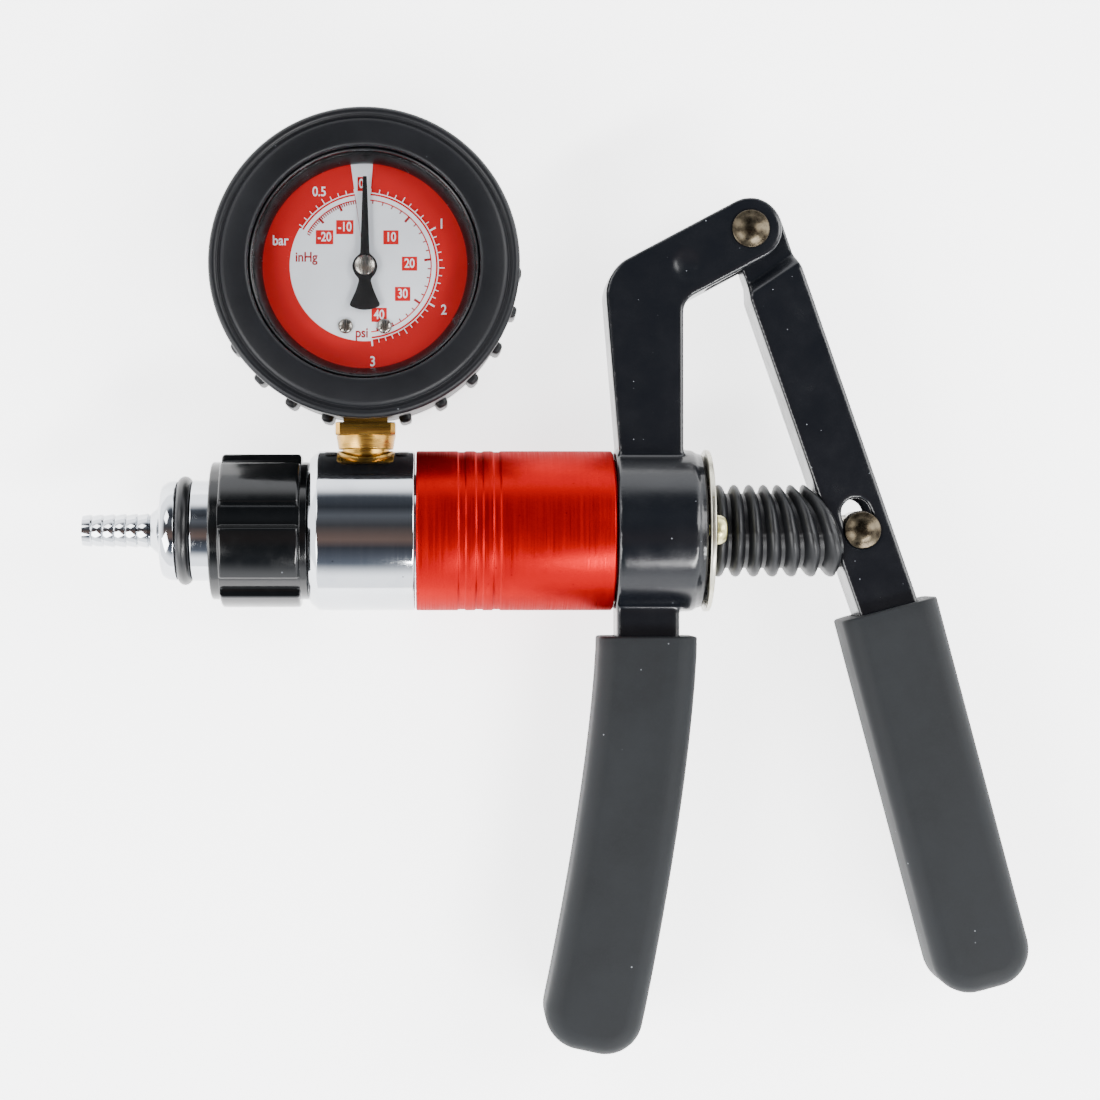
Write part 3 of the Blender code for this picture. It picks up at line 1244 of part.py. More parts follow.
def make_pointer(finish, cap_finish, brass):
    """The pointer on its spindle, with the pinion that the sector turns."""
    upper = dial_bottom - MOVEMENT_BELOW_DIAL - MOVEMENT_PLATE
    gear_middle = upper - MOVEMENT_GAP / 2
    gear_half = SECTOR_THICKNESS / 2
    pointer_low = dial_top + POINTER_ABOVE_DIAL
    pointer_high = pointer_low + POINTER_THICKNESS
    spindle_low = upper - MOVEMENT_GAP - MOVEMENT_PLATE
    spindle = [
        (0.0, pointer_low - CLEARANCE),
        (SPINDLE_RADIUS, pointer_low - CLEARANCE),
        (SPINDLE_RADIUS, gear_middle + gear_half),
        (PINION_RADIUS, gear_middle + gear_half),
        (PINION_RADIUS, gear_middle - gear_half),
        (SPINDLE_RADIUS, gear_middle - gear_half),
        (SPINDLE_RADIUS, spindle_low),
        (0.0, spindle_low),
    ]
    dress(turned("pointer_spindle", spindle, pointer_holder, gauge_place, ALONG_Z, SMALL_FACETS), brass)
    hub = half_turn_points((0.0, 0.0), POINTER_HUB_RADIUS, 0.0, HUB_STEPS)
    waist, tip = POINTER_WAIST / 2, POINTER_TIP_WIDTH / 2
    reach = CASE_RADIUS * POINTER_REACH_SHARE
    tail, flare = POINTER_TAIL, POINTER_TAIL_WIDTH / 2
    side = math.sqrt(POINTER_HUB_RADIUS**2 - waist**2)
    right = [p for p in hub if p.x > waist]
    left = [Vector((-p.x, p.y)) for p in reversed(right)]
    lower_right = [Vector((p.x, -p.y)) for p in reversed(right) if p.y > 0.0]
    lower_left = [Vector((-p.x, p.y)) for p in reversed(lower_right)]
    outline = right + [(waist, side), (tip, reach), (-tip, reach), (-waist, side)] + left
    outline += lower_left + [
        (-waist, -side),
        (-flare * TAIL_ROOT_SHARE, -tail * TAIL_ROOT_SHARE),
        (-flare, -tail * TAIL_SHOULDER_SHARE),
        (0.0, -tail),
        (flare, -tail * TAIL_SHOULDER_SHARE),
        (flare * TAIL_ROOT_SHARE, -tail * TAIL_ROOT_SHARE),
        (waist, -side),
    ]
    outline += lower_right
    dress(plate("gauge_pointer", outline, pointer_low, pointer_high, pointer_holder, gauge_place), finish)
    low = pointer_high + CLEARANCE
    cap = [
        (0.0, low + POINTER_CAP_HEIGHT),
        (POINTER_CAP_RADIUS * SCREW_CROWN_SHARE, low + POINTER_CAP_HEIGHT),
        (POINTER_CAP_RADIUS, low + POINTER_CAP_HEIGHT / 2),
        (POINTER_CAP_RADIUS, low),
        (0.0, low),
    ]
    dress(turned("pointer_cap", cap, pointer_holder, gauge_place, ALONG_Z, SMALL_FACETS), cap_finish)


def make_sector(finish):
    """The toothed sector's blank: a wedge and hub on an arbor, its rim beside the pinion."""
    upper = dial_bottom - MOVEMENT_BELOW_DIAL - MOVEMENT_PLATE
    middle = upper - MOVEMENT_GAP / 2
    half = SECTOR_THICKNESS / 2
    spare = MOVEMENT_PLATE + MOVEMENT_GAP / 2
    arbor = [
        (0.0, middle + spare),
        (SPINDLE_RADIUS, middle + spare),
        (SPINDLE_RADIUS, middle + half),
        (SECTOR_HUB_RADIUS, middle + half),
        (SECTOR_HUB_RADIUS, middle - half),
        (SPINDLE_RADIUS, middle - half),
        (SPINDLE_RADIUS, middle - spare),
        (0.0, middle - spare),
    ]
    sector = turned("sector_gear", arbor, sector_holder, sector_place, ALONG_Z, SMALL_FACETS)
    outline = [(0.0, 0.0)]
    for step in range(SECTOR_STEPS + 1):
        angle = math.pi / 2 + SECTOR_HALF_ANGLE * (1.0 - 2.0 * step / SECTOR_STEPS)
        outline.append((SECTOR_RADIUS * math.cos(angle), SECTOR_RADIUS * math.sin(angle)))
    low, high = middle - half, middle + half
    join(sector, plate("sector_wedge", outline[::-1], low, high, sector_holder, sector_place))
    return dress(sector, finish)


def seat_on_table():
    """Moves the whole pump so that it rests on z = 0 with its middle over the origin."""
    bpy.context.view_layer.update()
    graph = bpy.context.evaluated_depsgraph_get()
    low, high = Vector((math.inf,) * 3), Vector((-math.inf,) * 3)
    for piece in pump.objects:
        if piece.type != "MESH":
            continue
        evaluated = piece.evaluated_get(graph)
        mesh = evaluated.to_mesh()
        for vertex in mesh.vertices:
            at = evaluated.matrix_world @ vertex.co
            low = Vector(map(min, low, at))
            high = Vector(map(max, high, at))
        evaluated.to_mesh_clear()
    middle = (low + high) / 2
    body.location = (-middle.x, -middle.y, -low.z)
    bpy.context.view_layer.update()


clear_scene()
pump = new_collection("hand_vacuum_pump")
cutters = new_collection("cutters")
holder_place = {}


def make_holder(name, place, parent=None):
    made = empty(name, Vector(place), parent)
    holder_place[name] = Vector(place)
    return made


body = make_holder("pump_body", ORIGIN)
collar_holder = make_holder("collar_axis", ORIGIN, body)
rod_holder = make_holder("rod_axis", (PIN_ALONG, 0.0, 0.0), body)
lever_holder = make_holder("lever_pivot", pivot, body)
pointer_holder = make_holder("pointer_axis", gauge_place, body)
sector_holder = make_holder("sector_axis", sector_place, body)

def make_finishes():
    """Every finish of the pump by name, as colour in linear RGB, roughness and metallic."""
    looks = {
        "gloss_black_paint": ((0.008, 0.008, 0.012), 0.12, 0.0),
        "matte_grip_rubber": ((0.048, 0.049, 0.061), 0.75, 0.0),
        "satin_boot_rubber": ((0.017, 0.02, 0.027), 0.45, 0.0),
        "seal_rubber": ((0.01, 0.01, 0.012), 0.5, 0.0),
        "red_anodised_aluminium": ((0.58, 0.013, 0.017), 0.28, 1.0),
        "polished_chrome": ((0.8, 0.81, 0.83), 0.08, 1.0),
        "satin_nickel": ((0.62, 0.6, 0.54), 0.3, 1.0),
        "turned_brass": ((0.72, 0.5, 0.15), 0.28, 1.0),
        "antique_rivet_steel": ((0.12, 0.105, 0.08), 0.35, 1.0),
        "yellow_zinc_plate": ((0.55, 0.52, 0.33), 0.32, 1.0),
        "bright_steel": ((0.6, 0.6, 0.62), 0.25, 1.0),
        "gloss_black_moulding": ((0.006, 0.006, 0.008), 0.1, 0.0),
        "printed_dial": ((0.85, 0.86, 0.9), 0.4, 0.0),
        "clear_lens": ((0.9, 0.92, 0.95), 0.03, 0.0),
    }
    return {name: finish_named(name, *look) for name, look in looks.items()}


def make_handles(paint, rubber, bronze):
    """Casting and lever with their grips, the pivot's rivet and the rod's pin."""
    make_frame_casting(paint)
    make_lever(paint)
    stem_stop = 1.0 - STEM_END_MARGIN / FIXED_GRIP_LENGTH
    tongue_stop = LEVER_TONGUE_LENGTH / LEVER_GRIP_LENGTH
    stem, tongue = (STEM_WIDTH, STEM_THICKNESS, stem_stop), (LEVER_WIDTH, LEVER_THICKNESS, tongue_stop)
    make_grip("fixed_grip", fixed_line, FIXED_GRIP_LENGTH, stem, body, rubber)
    make_grip("lever_grip", lever_line, LEVER_GRIP_LENGTH, tongue, lever_holder, rubber)
    head, rise, grip_half = RIVET_HEAD_RADIUS, RIVET_HEAD_HEIGHT, FRAME_THICKNESS / 2
    make_rivet("pivot_rivet", RIVET_RADIUS, head, rise, grip_half, body, pivot, bronze)
    head, rise, grip_half = PIN_HEAD_RADIUS, PIN_HEAD_HEIGHT, LEVER_THICKNESS / 2
    make_rivet("rod_pin", PIN_RADIUS, head, rise, grip_half, rod_holder, (PIN_ALONG, 0.0, 0.0), bronze)


def make_seals(rubber, nozzle_seal_at):
    head_seal_radius = barrel_bore_radius - CLEARANCE - HEAD_SEAL_SECTION / 2
    dress(o_ring("head_seal", head_seal_radius, HEAD_SEAL_SECTION, body, (head_seal_at, 0.0, 0.0)), rubber)
    place = (nozzle_seal_at, 0.0, 0.0)
    dress(o_ring("nozzle_seal", NOZZLE_SEAL_RADIUS, NOZZLE_SEAL_SECTION, body, place), rubber)


def main():
    finishes = make_finishes()
    paint, moulding = finishes["gloss_black_paint"], finishes["gloss_black_moulding"]
    rubber, brass = finishes["seal_rubber"], finishes["turned_brass"]
    steel, nickel = finishes["bright_steel"], finishes["satin_nickel"]
    make_handles(paint, finishes["matte_grip_rubber"], finishes["antique_rivet_steel"])
    make_barrel(finishes["red_anodised_aluminium"])
    make_head(finishes["polished_chrome"])
    make_valve(brass, rubber)
    make_seals(rubber, make_nozzle(finishes["polished_chrome"]))
    make_collar(moulding)
    make_end_cap(nickel, finishes["yellow_zinc_plate"], brass)
    make_gauge_stem(brass)
    make_boot(finishes["satin_boot_rubber"])
    make_case(paint, moulding, finishes["clear_lens"], finishes["printed_dial"])
    make_dial_screws(steel)
    make_movement(brass, brass)
    make_pointer(paint, steel, brass)
    make_sector(brass)
    make_rod(steel)
    make_piston(nickel, rubber, steel)
    make_spring(steel)
    make_bellows(finishes["satin_boot_rubber"])
    seat_on_table()


main()
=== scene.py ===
"""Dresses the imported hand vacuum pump: each visible surface gets its full form and its finish.

Places are given in millimetres, as the real pump has them: along its barrel with zero at the red barrel's
right end, up to the gauge, and out of the dial. here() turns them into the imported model's own frame.
"""

import json
import math
from types import SimpleNamespace

import bmesh
import bpy
from bpy.props import FloatProperty, FloatVectorProperty, IntProperty, PointerProperty
from bpy.types import Operator, Panel, PropertyGroup
from mathutils import Matrix, Vector


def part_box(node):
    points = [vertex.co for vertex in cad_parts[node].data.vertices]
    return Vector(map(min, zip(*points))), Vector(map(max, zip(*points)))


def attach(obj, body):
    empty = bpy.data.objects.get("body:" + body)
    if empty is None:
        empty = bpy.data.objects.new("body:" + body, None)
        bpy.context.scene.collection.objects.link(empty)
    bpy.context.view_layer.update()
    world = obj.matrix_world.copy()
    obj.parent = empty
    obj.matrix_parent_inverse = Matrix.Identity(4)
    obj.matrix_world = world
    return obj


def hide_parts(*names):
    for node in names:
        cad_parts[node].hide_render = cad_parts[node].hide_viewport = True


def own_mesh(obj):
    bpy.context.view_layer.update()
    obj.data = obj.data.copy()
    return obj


bl_info = {
    "name": "Hand Vacuum Pump", "version": (1, 0, 0), "blender": (4, 5, 0),
    "location": "3D View > Sidebar > Vacuum Pump",
    "description": "Models and finishes the visible surfaces of a hand vacuum pump", "category": "Add Mesh",
}

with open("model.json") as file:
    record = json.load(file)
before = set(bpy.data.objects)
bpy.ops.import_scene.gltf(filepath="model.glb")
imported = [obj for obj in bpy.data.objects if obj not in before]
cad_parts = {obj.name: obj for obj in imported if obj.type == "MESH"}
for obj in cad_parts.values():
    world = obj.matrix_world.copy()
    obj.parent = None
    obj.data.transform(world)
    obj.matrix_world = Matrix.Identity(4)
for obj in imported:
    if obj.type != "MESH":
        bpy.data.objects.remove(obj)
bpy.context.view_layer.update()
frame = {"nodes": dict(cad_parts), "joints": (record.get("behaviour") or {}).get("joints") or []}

MM = 0.001
MERGE = 0.002 * MM
HAIR = 0.02  # keeps two surfaces that lie on each other apart
ROUND = 0.999  # share of half a side that both its corners may take without meeting
CREASE = math.radians(32.0)
THREAD = 14.7  # radius of the thread between head, collar and nozzle

# The lever's pivot and the rod's pin, seen from the barrel's right end
PIVOT_ALONG, PIVOT_UP, PIN_ALONG = 33.8, 75.0, 61.7
joints = {joint["name"]: joint for joint in frame["joints"]}
ORIGIN = Vector(joints["lever_squeeze"]["pos_m"]) - Vector((PIVOT_ALONG, PIVOT_UP, 0.0)) * MM
ALONG, UP, OUT = Vector((1, 0, 0)), Vector((0, 1, 0)), Vector((0, 0, 1))
COLOURS = {"data_type": "RGBA"}

# Where the camera stands and looks, seen from the barrel's right end
CAMERA_PLACE = (-44.81, -10.29, 648.8)
CAMERA_TARGET = (-32.39, -4.84, 0.0)
# What the bright metal mirrors from overhead, from the grips' side to the gauge's: dark, with a warm streak
CEILING = (
    (0.1, 0x454A52), (0.2, 0x34373E), (0.285, 0x24262B), (0.38, 0x4C3E39), (0.475, 0x3E3532), (0.56, 0x2A2A2C),
    (0.675, 0x3C3E42), (0.77, 0x1E2024), (0.9, 0x303338),
)
CAMERA_SHIFT = 0.06  # the photograph's frame isn't centred on its view


def linear(hex_colour):
    """An sRGB hex colour as the linear RGBA that Blender works with."""
    channels = [(hex_colour >> shift & 255) / 255 for shift in (16, 8, 0)]
    return [c / 12.92 if c <= 0.04045 else ((c + 0.055) / 1.055) ** 2.4 for c in channels] + [1.0]


def length(name, description, default):
    """A length, given here in millimetres, that the sidebar shows in the scene's unit."""
    return FloatProperty(
        name=name, description=description, default=default * MM, unit="LENGTH", min=0.0, precision=5
    )


def colour(name, description, hex_colour):
    return FloatVectorProperty(
        name=name, description=description, default=linear(hex_colour), subtype="COLOR", size=4, min=0.0, max=1.0
    )


class BarrelSizes(PropertyGroup):
    radius: length("Radius", "Radius of the red barrel and the chrome head", 20.0)
    red_length: length("Barrel length", "Length of the red barrel", 49.7)
    head_length: length("Head length", "Length of the chrome head", 26.1)
    chamfer: length("Chamfer", "Width of the chamfer on the head's free edge", 2.2)
    band_width: length("Band width", "Width of each turned band on the barrel", 2.1)
    band_pitch: length("Band pitch", "Distance from one turned band to the next", 4.35)
    band_depth: length("Band depth", "Depth of the turned bands", 0.24)
    band_count: IntProperty(name="Bands", description="Number of turned bands", default=3, min=0, max=6)


class CollarSizes(PropertyGroup):
    crest: length("Crest radius", "Radius over the lobes", 19.2)
    groove: length("Groove radius", "Radius between the lobes", 17.35)
    ring: length("Ring radius", "Radius of the plain ring at each end", 17.25)
    lobes: IntProperty(name="Lobes", description="Number of lobes round the collar", default=6, min=3, max=12)
    lobe_share: FloatProperty(
        name="Lobe share", description="Share of the way round that the lobes take", default=0.7, min=0.3, max=0.9
    )
    turn: FloatProperty(
        name="Turn", description="How far the first lobe is turned from the front", default=math.radians(19.0),
        subtype="ANGLE",
    )


class NozzleSizes(PropertyGroup):
    barbs: IntProperty(name="Barbs", description="Number of barbs on the hose end", default=6, min=1, max=12)
    barb_pitch: length("Barb pitch", "Distance from barb to barb", 2.85)
    barb_depth: length("Barb depth", "How far a barb stands over its own root", 0.5)
    root: length("Root radius", "Radius of the largest barb", 4.35)
    tip: length("Tip radius", "Radius of the smallest barb", 4.0)
    bore: length("Bore radius", "Radius of the passage", 2.3)


class GaugeSizes(PropertyGroup):
    rim: length("Boot rim radius", "Radius over the boot's front bead", 38.1)
    ribs: IntProperty(name="Boot ribs", description="Number of ribs round the boot", default=24, min=6, max=48)
    rib_width: length("Rib width", "Width of each rib", 3.2)
    rib_height: length("Rib height", "How far a rib stands off the boot", 1.7)
    dial: length("Dial radius", "Radius of the dial that shows", 25.2)
    white: length("White disc radius", "Radius of the white disc inside the red ring", 18.6)
    pointer: length("Pointer length", "From the dial's centre to the pointer's tip", 22.0)


class BellowsSizes(PropertyGroup):
    crest: length("Crest radius", "Radius over the ribs", 11.6)
    valley: length("Valley radius", "Radius between the ribs", 9.4)
    ribs: IntProperty(name="Ribs", description="Number of ribs", default=7, min=3, max=12)


class GripSizes(PropertyGroup):
    width: length("Width", "Width of both grips, seen from the front", 24.6)
    depth: length("Depth", "Depth of both grips, front to back", 22.0)
    edge: length("Edge radius", "Radius of the grips' long edges", 5.0)


class FinishColours(PropertyGroup):
    paint: colour("Frame paint", "Gloss black paint on the casting and the lever", 0x0B0D11)
    anodise: colour("Barrel", "Red anodised aluminium", 0x940006)
    grip: colour("Grips", "Moulded grip rubber", 0x121416)
    boot: colour("Gauge boot", "Moulded boot rubber", 0x08090C)
    bellows: colour("Bellows", "Moulded bellows rubber", 0x0A0B0D)
    collar: colour("Collar", "Gloss black moulding", 0x060708)
    brass: colour("Brass", "Turned and milled brass", 0xB98F45)
    dial_white: colour("Dial white", "White lacquer of the dial", 0xF2F9FF)
    dial_red: colour("Dial red", "Red print of the dial", 0xCC080C)
    floor: colour("Floor", "The pale floor under the pump", 0xFAFAFA)


class StageSizes(PropertyGroup):
    light: FloatProperty(name="Light", description="Share of the usual light", default=1.0, min=0.0, max=4.0)
    lens: FloatProperty(name="Lens", description="Focal length in millimetres", default=84.57, min=20.0, max=300.0)


SETTINGS = {
    "pump_barrel": BarrelSizes, "pump_collar": CollarSizes, "pump_nozzle": NozzleSizes,
    "pump_gauge": GaugeSizes, "pump_bellows": BellowsSizes, "pump_grips": GripSizes,
    "pump_colours": FinishColours, "pump_stage": StageSizes,
}


def here(along=0.0, up=0.0, out=0.0):
    """A place on the pump in millimetres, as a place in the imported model's frame."""
    return ORIGIN + Vector((along * MM, up * MM, out * MM))


def in_mm(group):
    """A group's settings, its lengths in millimetres."""
    kinds = group.bl_rna.properties
    scale = {name: 1 / MM if kinds[name].unit == "LENGTH" else 1 for name in type(group).__annotations__}
    return SimpleNamespace(**{name: getattr(group, name) * scale[name] for name in scale})


def mesh_from(bm, name):
    mesh = bpy.data.meshes.new(name)
    bm.to_mesh(mesh)
    bm.free()
    return mesh


def placed(name, data):
    """An object in the scene, at the origin."""
    made = bpy.data.objects.new(name, data)
    bpy.context.collection.objects.link(made)
    return made


def take_in(bm, part):
    """Adds a finished form to a mesh that may hold others."""
    mesh = mesh_from(part, "part")
    bm.from_mesh(mesh)
    bpy.data.meshes.remove(mesh)


def bevel(bm, geom, width, segments, affect="EDGES", clamp=False):
    bmesh.ops.bevel(
        bm, geom=geom, offset=width * MM, segments=segments, profile=0.5, affect=affect, material=-1,
        clamp_overlap=clamp,
    )


def round_edges(bm, width, segments=3):
    """Rounds every edge that turns by more than sixty degrees."""
    edges = [e for e in bm.edges if len(e.link_faces) == 2 and e.calc_face_angle() > math.radians(60.0)]
    bevel(bm, edges, width, segments, clamp=True)


def clean(bm):
    bmesh.ops.remove_doubles(bm, verts=bm.verts, dist=MERGE)
    bmesh.ops.dissolve_degenerate(bm, edges=bm.edges, dist=MERGE)
    bmesh.ops.recalc_face_normals(bm, faces=bm.faces)


def line_up(bm, places, closed=False):
    """A line of vertices through places; each place may carry the radius that its corner is rounded to."""
    corners, verts = {}, []
    for place, *radius in places:
        verts.append(bm.verts.new(place))
        if any(radius):
            corners.setdefault(radius[0], []).append(verts[-1])
    for one, other in zip(verts, verts[1:] + (verts[:1] if closed else [])):
        bm.edges.new((one, other))
    for radius, group in corners.items():
        bevel(bm, group, radius, 4 if radius < 3.0 else 14, "VERTICES", True)


def box(bm, centre, size, turn=0.0):
    """A block about a place, turned about the view's axis."""
    corners = bmesh.ops.create_cube(bm, size=1.0)["verts"]
    bmesh.ops.scale(bm, vec=Vector(size) * MM, verts=corners)
    bmesh.ops.rotate(bm, cent=(0, 0, 0), matrix=Matrix.Rotation(turn, 3, "Z"), verts=corners)
    bmesh.ops.translate(bm, vec=centre, verts=corners)
    return bm


def spun(bm, outline, centre=ORIGIN, axis=ALONG, side=OUT, steps=96, closed=False):
    """Turns an outline of (along the axis, out from it, corner radius or nothing) into a closed form."""
    part = bmesh.new()
    places = [(centre + axis * (along * MM) + side * (out * MM), *corner) for along, out, *corner in outline]
    line_up(part, places, closed)
    bmesh.ops.spin(
        part, geom=part.verts[:] + part.edges[:], cent=centre, axis=axis, angle=math.tau, steps=steps, use_merge=True
    )
    clean(part)
    take_in(bm, part)
    return bm


def extruded(bm, outline, low, high, edge=0.0, holes=(), segments=3):
    """A plate between two depths, from an outline of (along, up, corner radius or nothing), with rounded rims."""
    part = bmesh.new()
    for loop in (outline, *holes):
        line_up(part, [(here(along, up, low), *corner) for along, up, *corner in loop], closed=True)
    bmesh.ops.remove_doubles(part, verts=part.verts, dist=MERGE)
    if holes:
        bmesh.ops.triangle_fill(part, edges=part.edges, use_dissolve=True, use_beauty=True, normal=-OUT)
    else:
        bmesh.ops.contextual_create(part, geom=part.edges[:])
    grown = bmesh.ops.extrude_face_region(part, geom=part.faces[:])["geom"]
    lifted = [item for item in grown if isinstance(item, bmesh.types.BMVert)]
    bmesh.ops.translate(part, verts=lifted, vec=OUT * (high - low) * MM)
    clean(part)
    if edge:
        round_edges(part, edge, segments)
    take_in(bm, part)
    return bm


def finished(name, bm, key, nodes=(), body="pump_body", crease=CREASE):
    """Makes the piece's object, at the origin, and ties it to its body and what it stands for."""
    for face in bm.faces:
        face.smooth = True
    mesh = mesh_from(bm, name)
    mesh.set_sharp_from_angle(angle=crease)
    mesh.materials.append(finish(key))
    piece = placed(name, mesh)
    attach(piece, body)
    if nodes:
        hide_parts(*nodes)
    return piece


def turned(name, outline, key, node, centre=ORIGIN, steps=128, closed=True):
    """A piece turned about the barrel's axis, or about a line beside it."""
    return finished(name, spun(bmesh.new(), outline, centre, steps=steps, closed=closed), key, [node])


def with_modifier(piece, kind, **settings):
    """Gives the piece a modifier and applies it to its mesh."""
    modifier = piece.modifiers.new(kind.title(), kind)
    for name, value in settings.items():
        setattr(modifier, name, value)
    graph = bpy.context.evaluated_depsgraph_get()
    mesh = bpy.data.meshes.new_from_object(piece.evaluated_get(graph))
    piece.modifiers.clear()
    piece.data = mesh
    mesh.name = piece.name


def add(tree, kind, settings=None, **inputs):
    """One node, with its settings and what its sockets take: a value, an output, or a node's first output."""
    node = tree.nodes.new("ShaderNode" + kind)
    for name, value in (settings or {}).items():
        setattr(node, name, value)
    for name, value in inputs.items():
        socket = next(s for s in node.inputs if s.identifier == name or s.name == name.replace("_", " "))
        if isinstance(value, bpy.types.Node):
            value = next(output for output in value.outputs if output.enabled)
        if isinstance(value, bpy.types.NodeSocket):
            tree.links.new(value, socket)
        else:
            socket.default_value = value
    return node


def start(name):
    """A bare material, its node tree and the piece's own coordinates."""
    material = bpy.data.materials.new(name)
    material.use_nodes = True
    tree = material.node_tree
    tree.nodes.clear()
    return material, tree, add(tree, "TexCoord").outputs["Object"]


def surface(tree, **sockets):
    add(tree, "OutputMaterial", Surface=add(tree, "BsdfPrincipled", **sockets))


def specks(tree, place, size, share, core=0.07, rim=0.16):
    """A mask of scattered specks: one cell in so many of a given size holds one."""
    cells = add(tree, "TexVoronoi", Vector=place, Scale=1 / size)
    near = add(tree, "MapRange", Value=cells, From_Min=core, From_Max=rim, To_Min=1.0, To_Max=0.0)
    pick = add(tree, "SeparateColor", Color=cells.outputs["Color"])
    chosen = add(tree, "Math", {"operation": "LESS_THAN"}, Value=pick.outputs["Red"], Value_001=share)
    dots = add(tree, "Math", {"operation": "MULTIPLY"}, Value=near, Value_001=chosen)
    return add(tree, "Math", {"operation": "MULTIPLY"}, Value=dots, Value_001=pick.outputs["Green"])


def gloss_paint(name, base):
    """Stoved gloss paint on a zinc casting: deep and wet, with a faint orange peel and settled dust."""
    material, tree, place = start(name)
    mote, peel_size, smudge_size = 1.2 * MM, 1.7 * MM, 9.0 * MM  # motes drawn larger than dust so that they show
    dust = specks(tree, place, mote, 0.035)
    smudge = add(tree, "TexNoise", Vector=place, Scale=1 / smudge_size, Detail=5.0, Roughness=0.65)
    peel = add(tree, "TexNoise", Vector=place, Scale=1 / peel_size, Detail=3.0, Roughness=0.6)
    surface(
        tree,
        Base_Color=add(tree, "Mix", COLOURS, Factor_Float=dust, A_Color=base, B_Color=linear(0x84888D)),
        Roughness=add(tree, "MapRange", Value=smudge, From_Min=0.3, From_Max=0.7, To_Min=0.16, To_Max=0.28),
        Normal=add(tree, "Bump", Height=peel, Strength=0.3, Distance=0.06 * MM),
        IOR=1.5,
        Specular_IOR_Level=0.4,
    )
    return material


def moulded_rubber(name, base, grain, rough, lift, shine, cloud=18.0 * MM):
    """Moulded rubber: matte to satin, with the mould's fine grain, a grey bloom in clouds and a little lint."""
    material, tree, place = start(name)
    grit = add(tree, "TexNoise", Vector=place, Scale=1 / grain, Detail=3.0, Roughness=0.7)
    bloom = add(tree, "TexNoise", Vector=place, Scale=1 / cloud, Detail=5.0, Roughness=0.65)
    lint = specks(tree, place, 2.3 * MM, 0.05, 0.04, 0.1)
    pale = [min(1.0, channel * lift) for channel in base[:3]] + [1.0]
    clouds = add(tree, "MapRange", Value=bloom, From_Min=0.35, From_Max=0.7)
    grains = add(tree, "MapRange", Value=grit, From_Min=0.52, From_Max=0.72, To_Min=0.0, To_Max=0.6)
    clouded = add(tree, "Mix", COLOURS, Factor_Float=clouds, A_Color=base, B_Color=pale)
    speckled = add(tree, "Mix", COLOURS, Factor_Float=grains, A_Color=clouded, B_Color=pale)
    surface(
        tree,
        Base_Color=add(tree, "Mix", COLOURS, Factor_Float=lint, A_Color=speckled, B_Color=linear(0x9A9EA3)),
        Roughness=add(
            tree, "MapRange", Value=bloom, From_Min=0.3, From_Max=0.7, To_Min=rough, To_Max=rough + 0.1
        ),
        Normal=add(tree, "Bump", Height=grit, Strength=0.3, Distance=0.05 * MM),
        IOR=1.5,
        Specular_IOR_Level=shine,
    )
    return material


def turned_metal(
    name, base, rough, line, depth, stain, stain_share=0.0, axis=0, metallic=1.0, pitted=0.06, edge=0xFFFFFF
):
    """Metal turned on a lathe: fine rings round its axis, uneven in gloss, with faint stains and pits."""
    material, tree, place = start(name)
    across = [1 / (25.0 * MM)] * 3
    across[axis] = 1 / line
    rings = add(tree, "Mapping", {"vector_type": "POINT"}, Vector=place, Scale=across)
    brushed = add(tree, "TexNoise", Vector=rings, Scale=1.0, Detail=3.0, Roughness=0.7)
    cloud = add(tree, "TexNoise", Vector=place, Scale=1 / (9.0 * MM), Detail=4.0, Roughness=0.6)
    pits = specks(tree, place, 1.9 * MM, pitted)
    worn = add(tree, "MapRange", Value=cloud, From_Min=0.5, From_Max=0.75, To_Min=0.0, To_Max=stain_share)
    stained = add(tree, "Mix", COLOURS, Factor_Float=worn, A_Color=base, B_Color=stain)
    surface(
        tree,
        Base_Color=add(tree, "Mix", COLOURS, Factor_Float=pits, A_Color=stained, B_Color=stain),
        Metallic=metallic,
        Roughness=add(
            tree, "MapRange", Value=brushed, From_Min=0.3, From_Max=0.7, To_Min=rough * 0.75,
            To_Max=rough * 1.35,
        ),
        Normal=add(tree, "Bump", Height=brushed, Strength=0.3, Distance=depth),
        Specular_Tint=linear(edge),
    )
    return material


def chrome_plate(name, base):
    """Bright chrome on turned steel: a clear mirror with faint polishing rings and a scatter of tiny pits."""
    return turned_metal(name, base, 0.08, 0.5 * MM, 0.004 * MM, linear(0x4E5052), 0.1, pitted=0.09)


def anodised_aluminium(name, base):
    """Brushed aluminium dyed red: the brush rings stay visible through the clear colour."""
    return turned_metal(name, base, 0.36, 0.3 * MM, 0.005 * MM, linear(0x6A0008), 0.3, metallic=0.8, edge=0xC83C44)


def bright_brass(name, base):
    """Turned and milled brass, lightly tarnished in patches."""
    return turned_metal(name, base, 0.26, 1.1 * MM, 0.006 * MM, linear(0x8A6226), 0.5, axis=1)


def antique_bronze(name, base):
    """Rivet steel with a dark bronze plating that the hammering has rubbed."""
    material, tree, place = start(name)
    patch = add(tree, "TexNoise", Vector=place, Scale=1 / (1.9 * MM), Detail=6.0, Roughness=0.75)
    dents = add(tree, "TexVoronoi", {"feature": "SMOOTH_F1"}, Vector=place, Scale=1 / (1.5 * MM))
    rubbed = add(tree, "MapRange", Value=patch, From_Min=0.4, From_Max=0.68)
    surface(
        tree,
        Base_Color=add(tree, "Mix", COLOURS, Factor_Float=rubbed, A_Color=base, B_Color=linear(0x4E473A)),
        Metallic=1.0,
        Roughness=add(tree, "MapRange", Value=patch, From_Min=0.3, From_Max=0.7, To_Min=0.22, To_Max=0.36),
        Normal=add(tree, "Bump", Height=dents, Strength=0.2, Distance=0.1 * MM),
    )
    return material


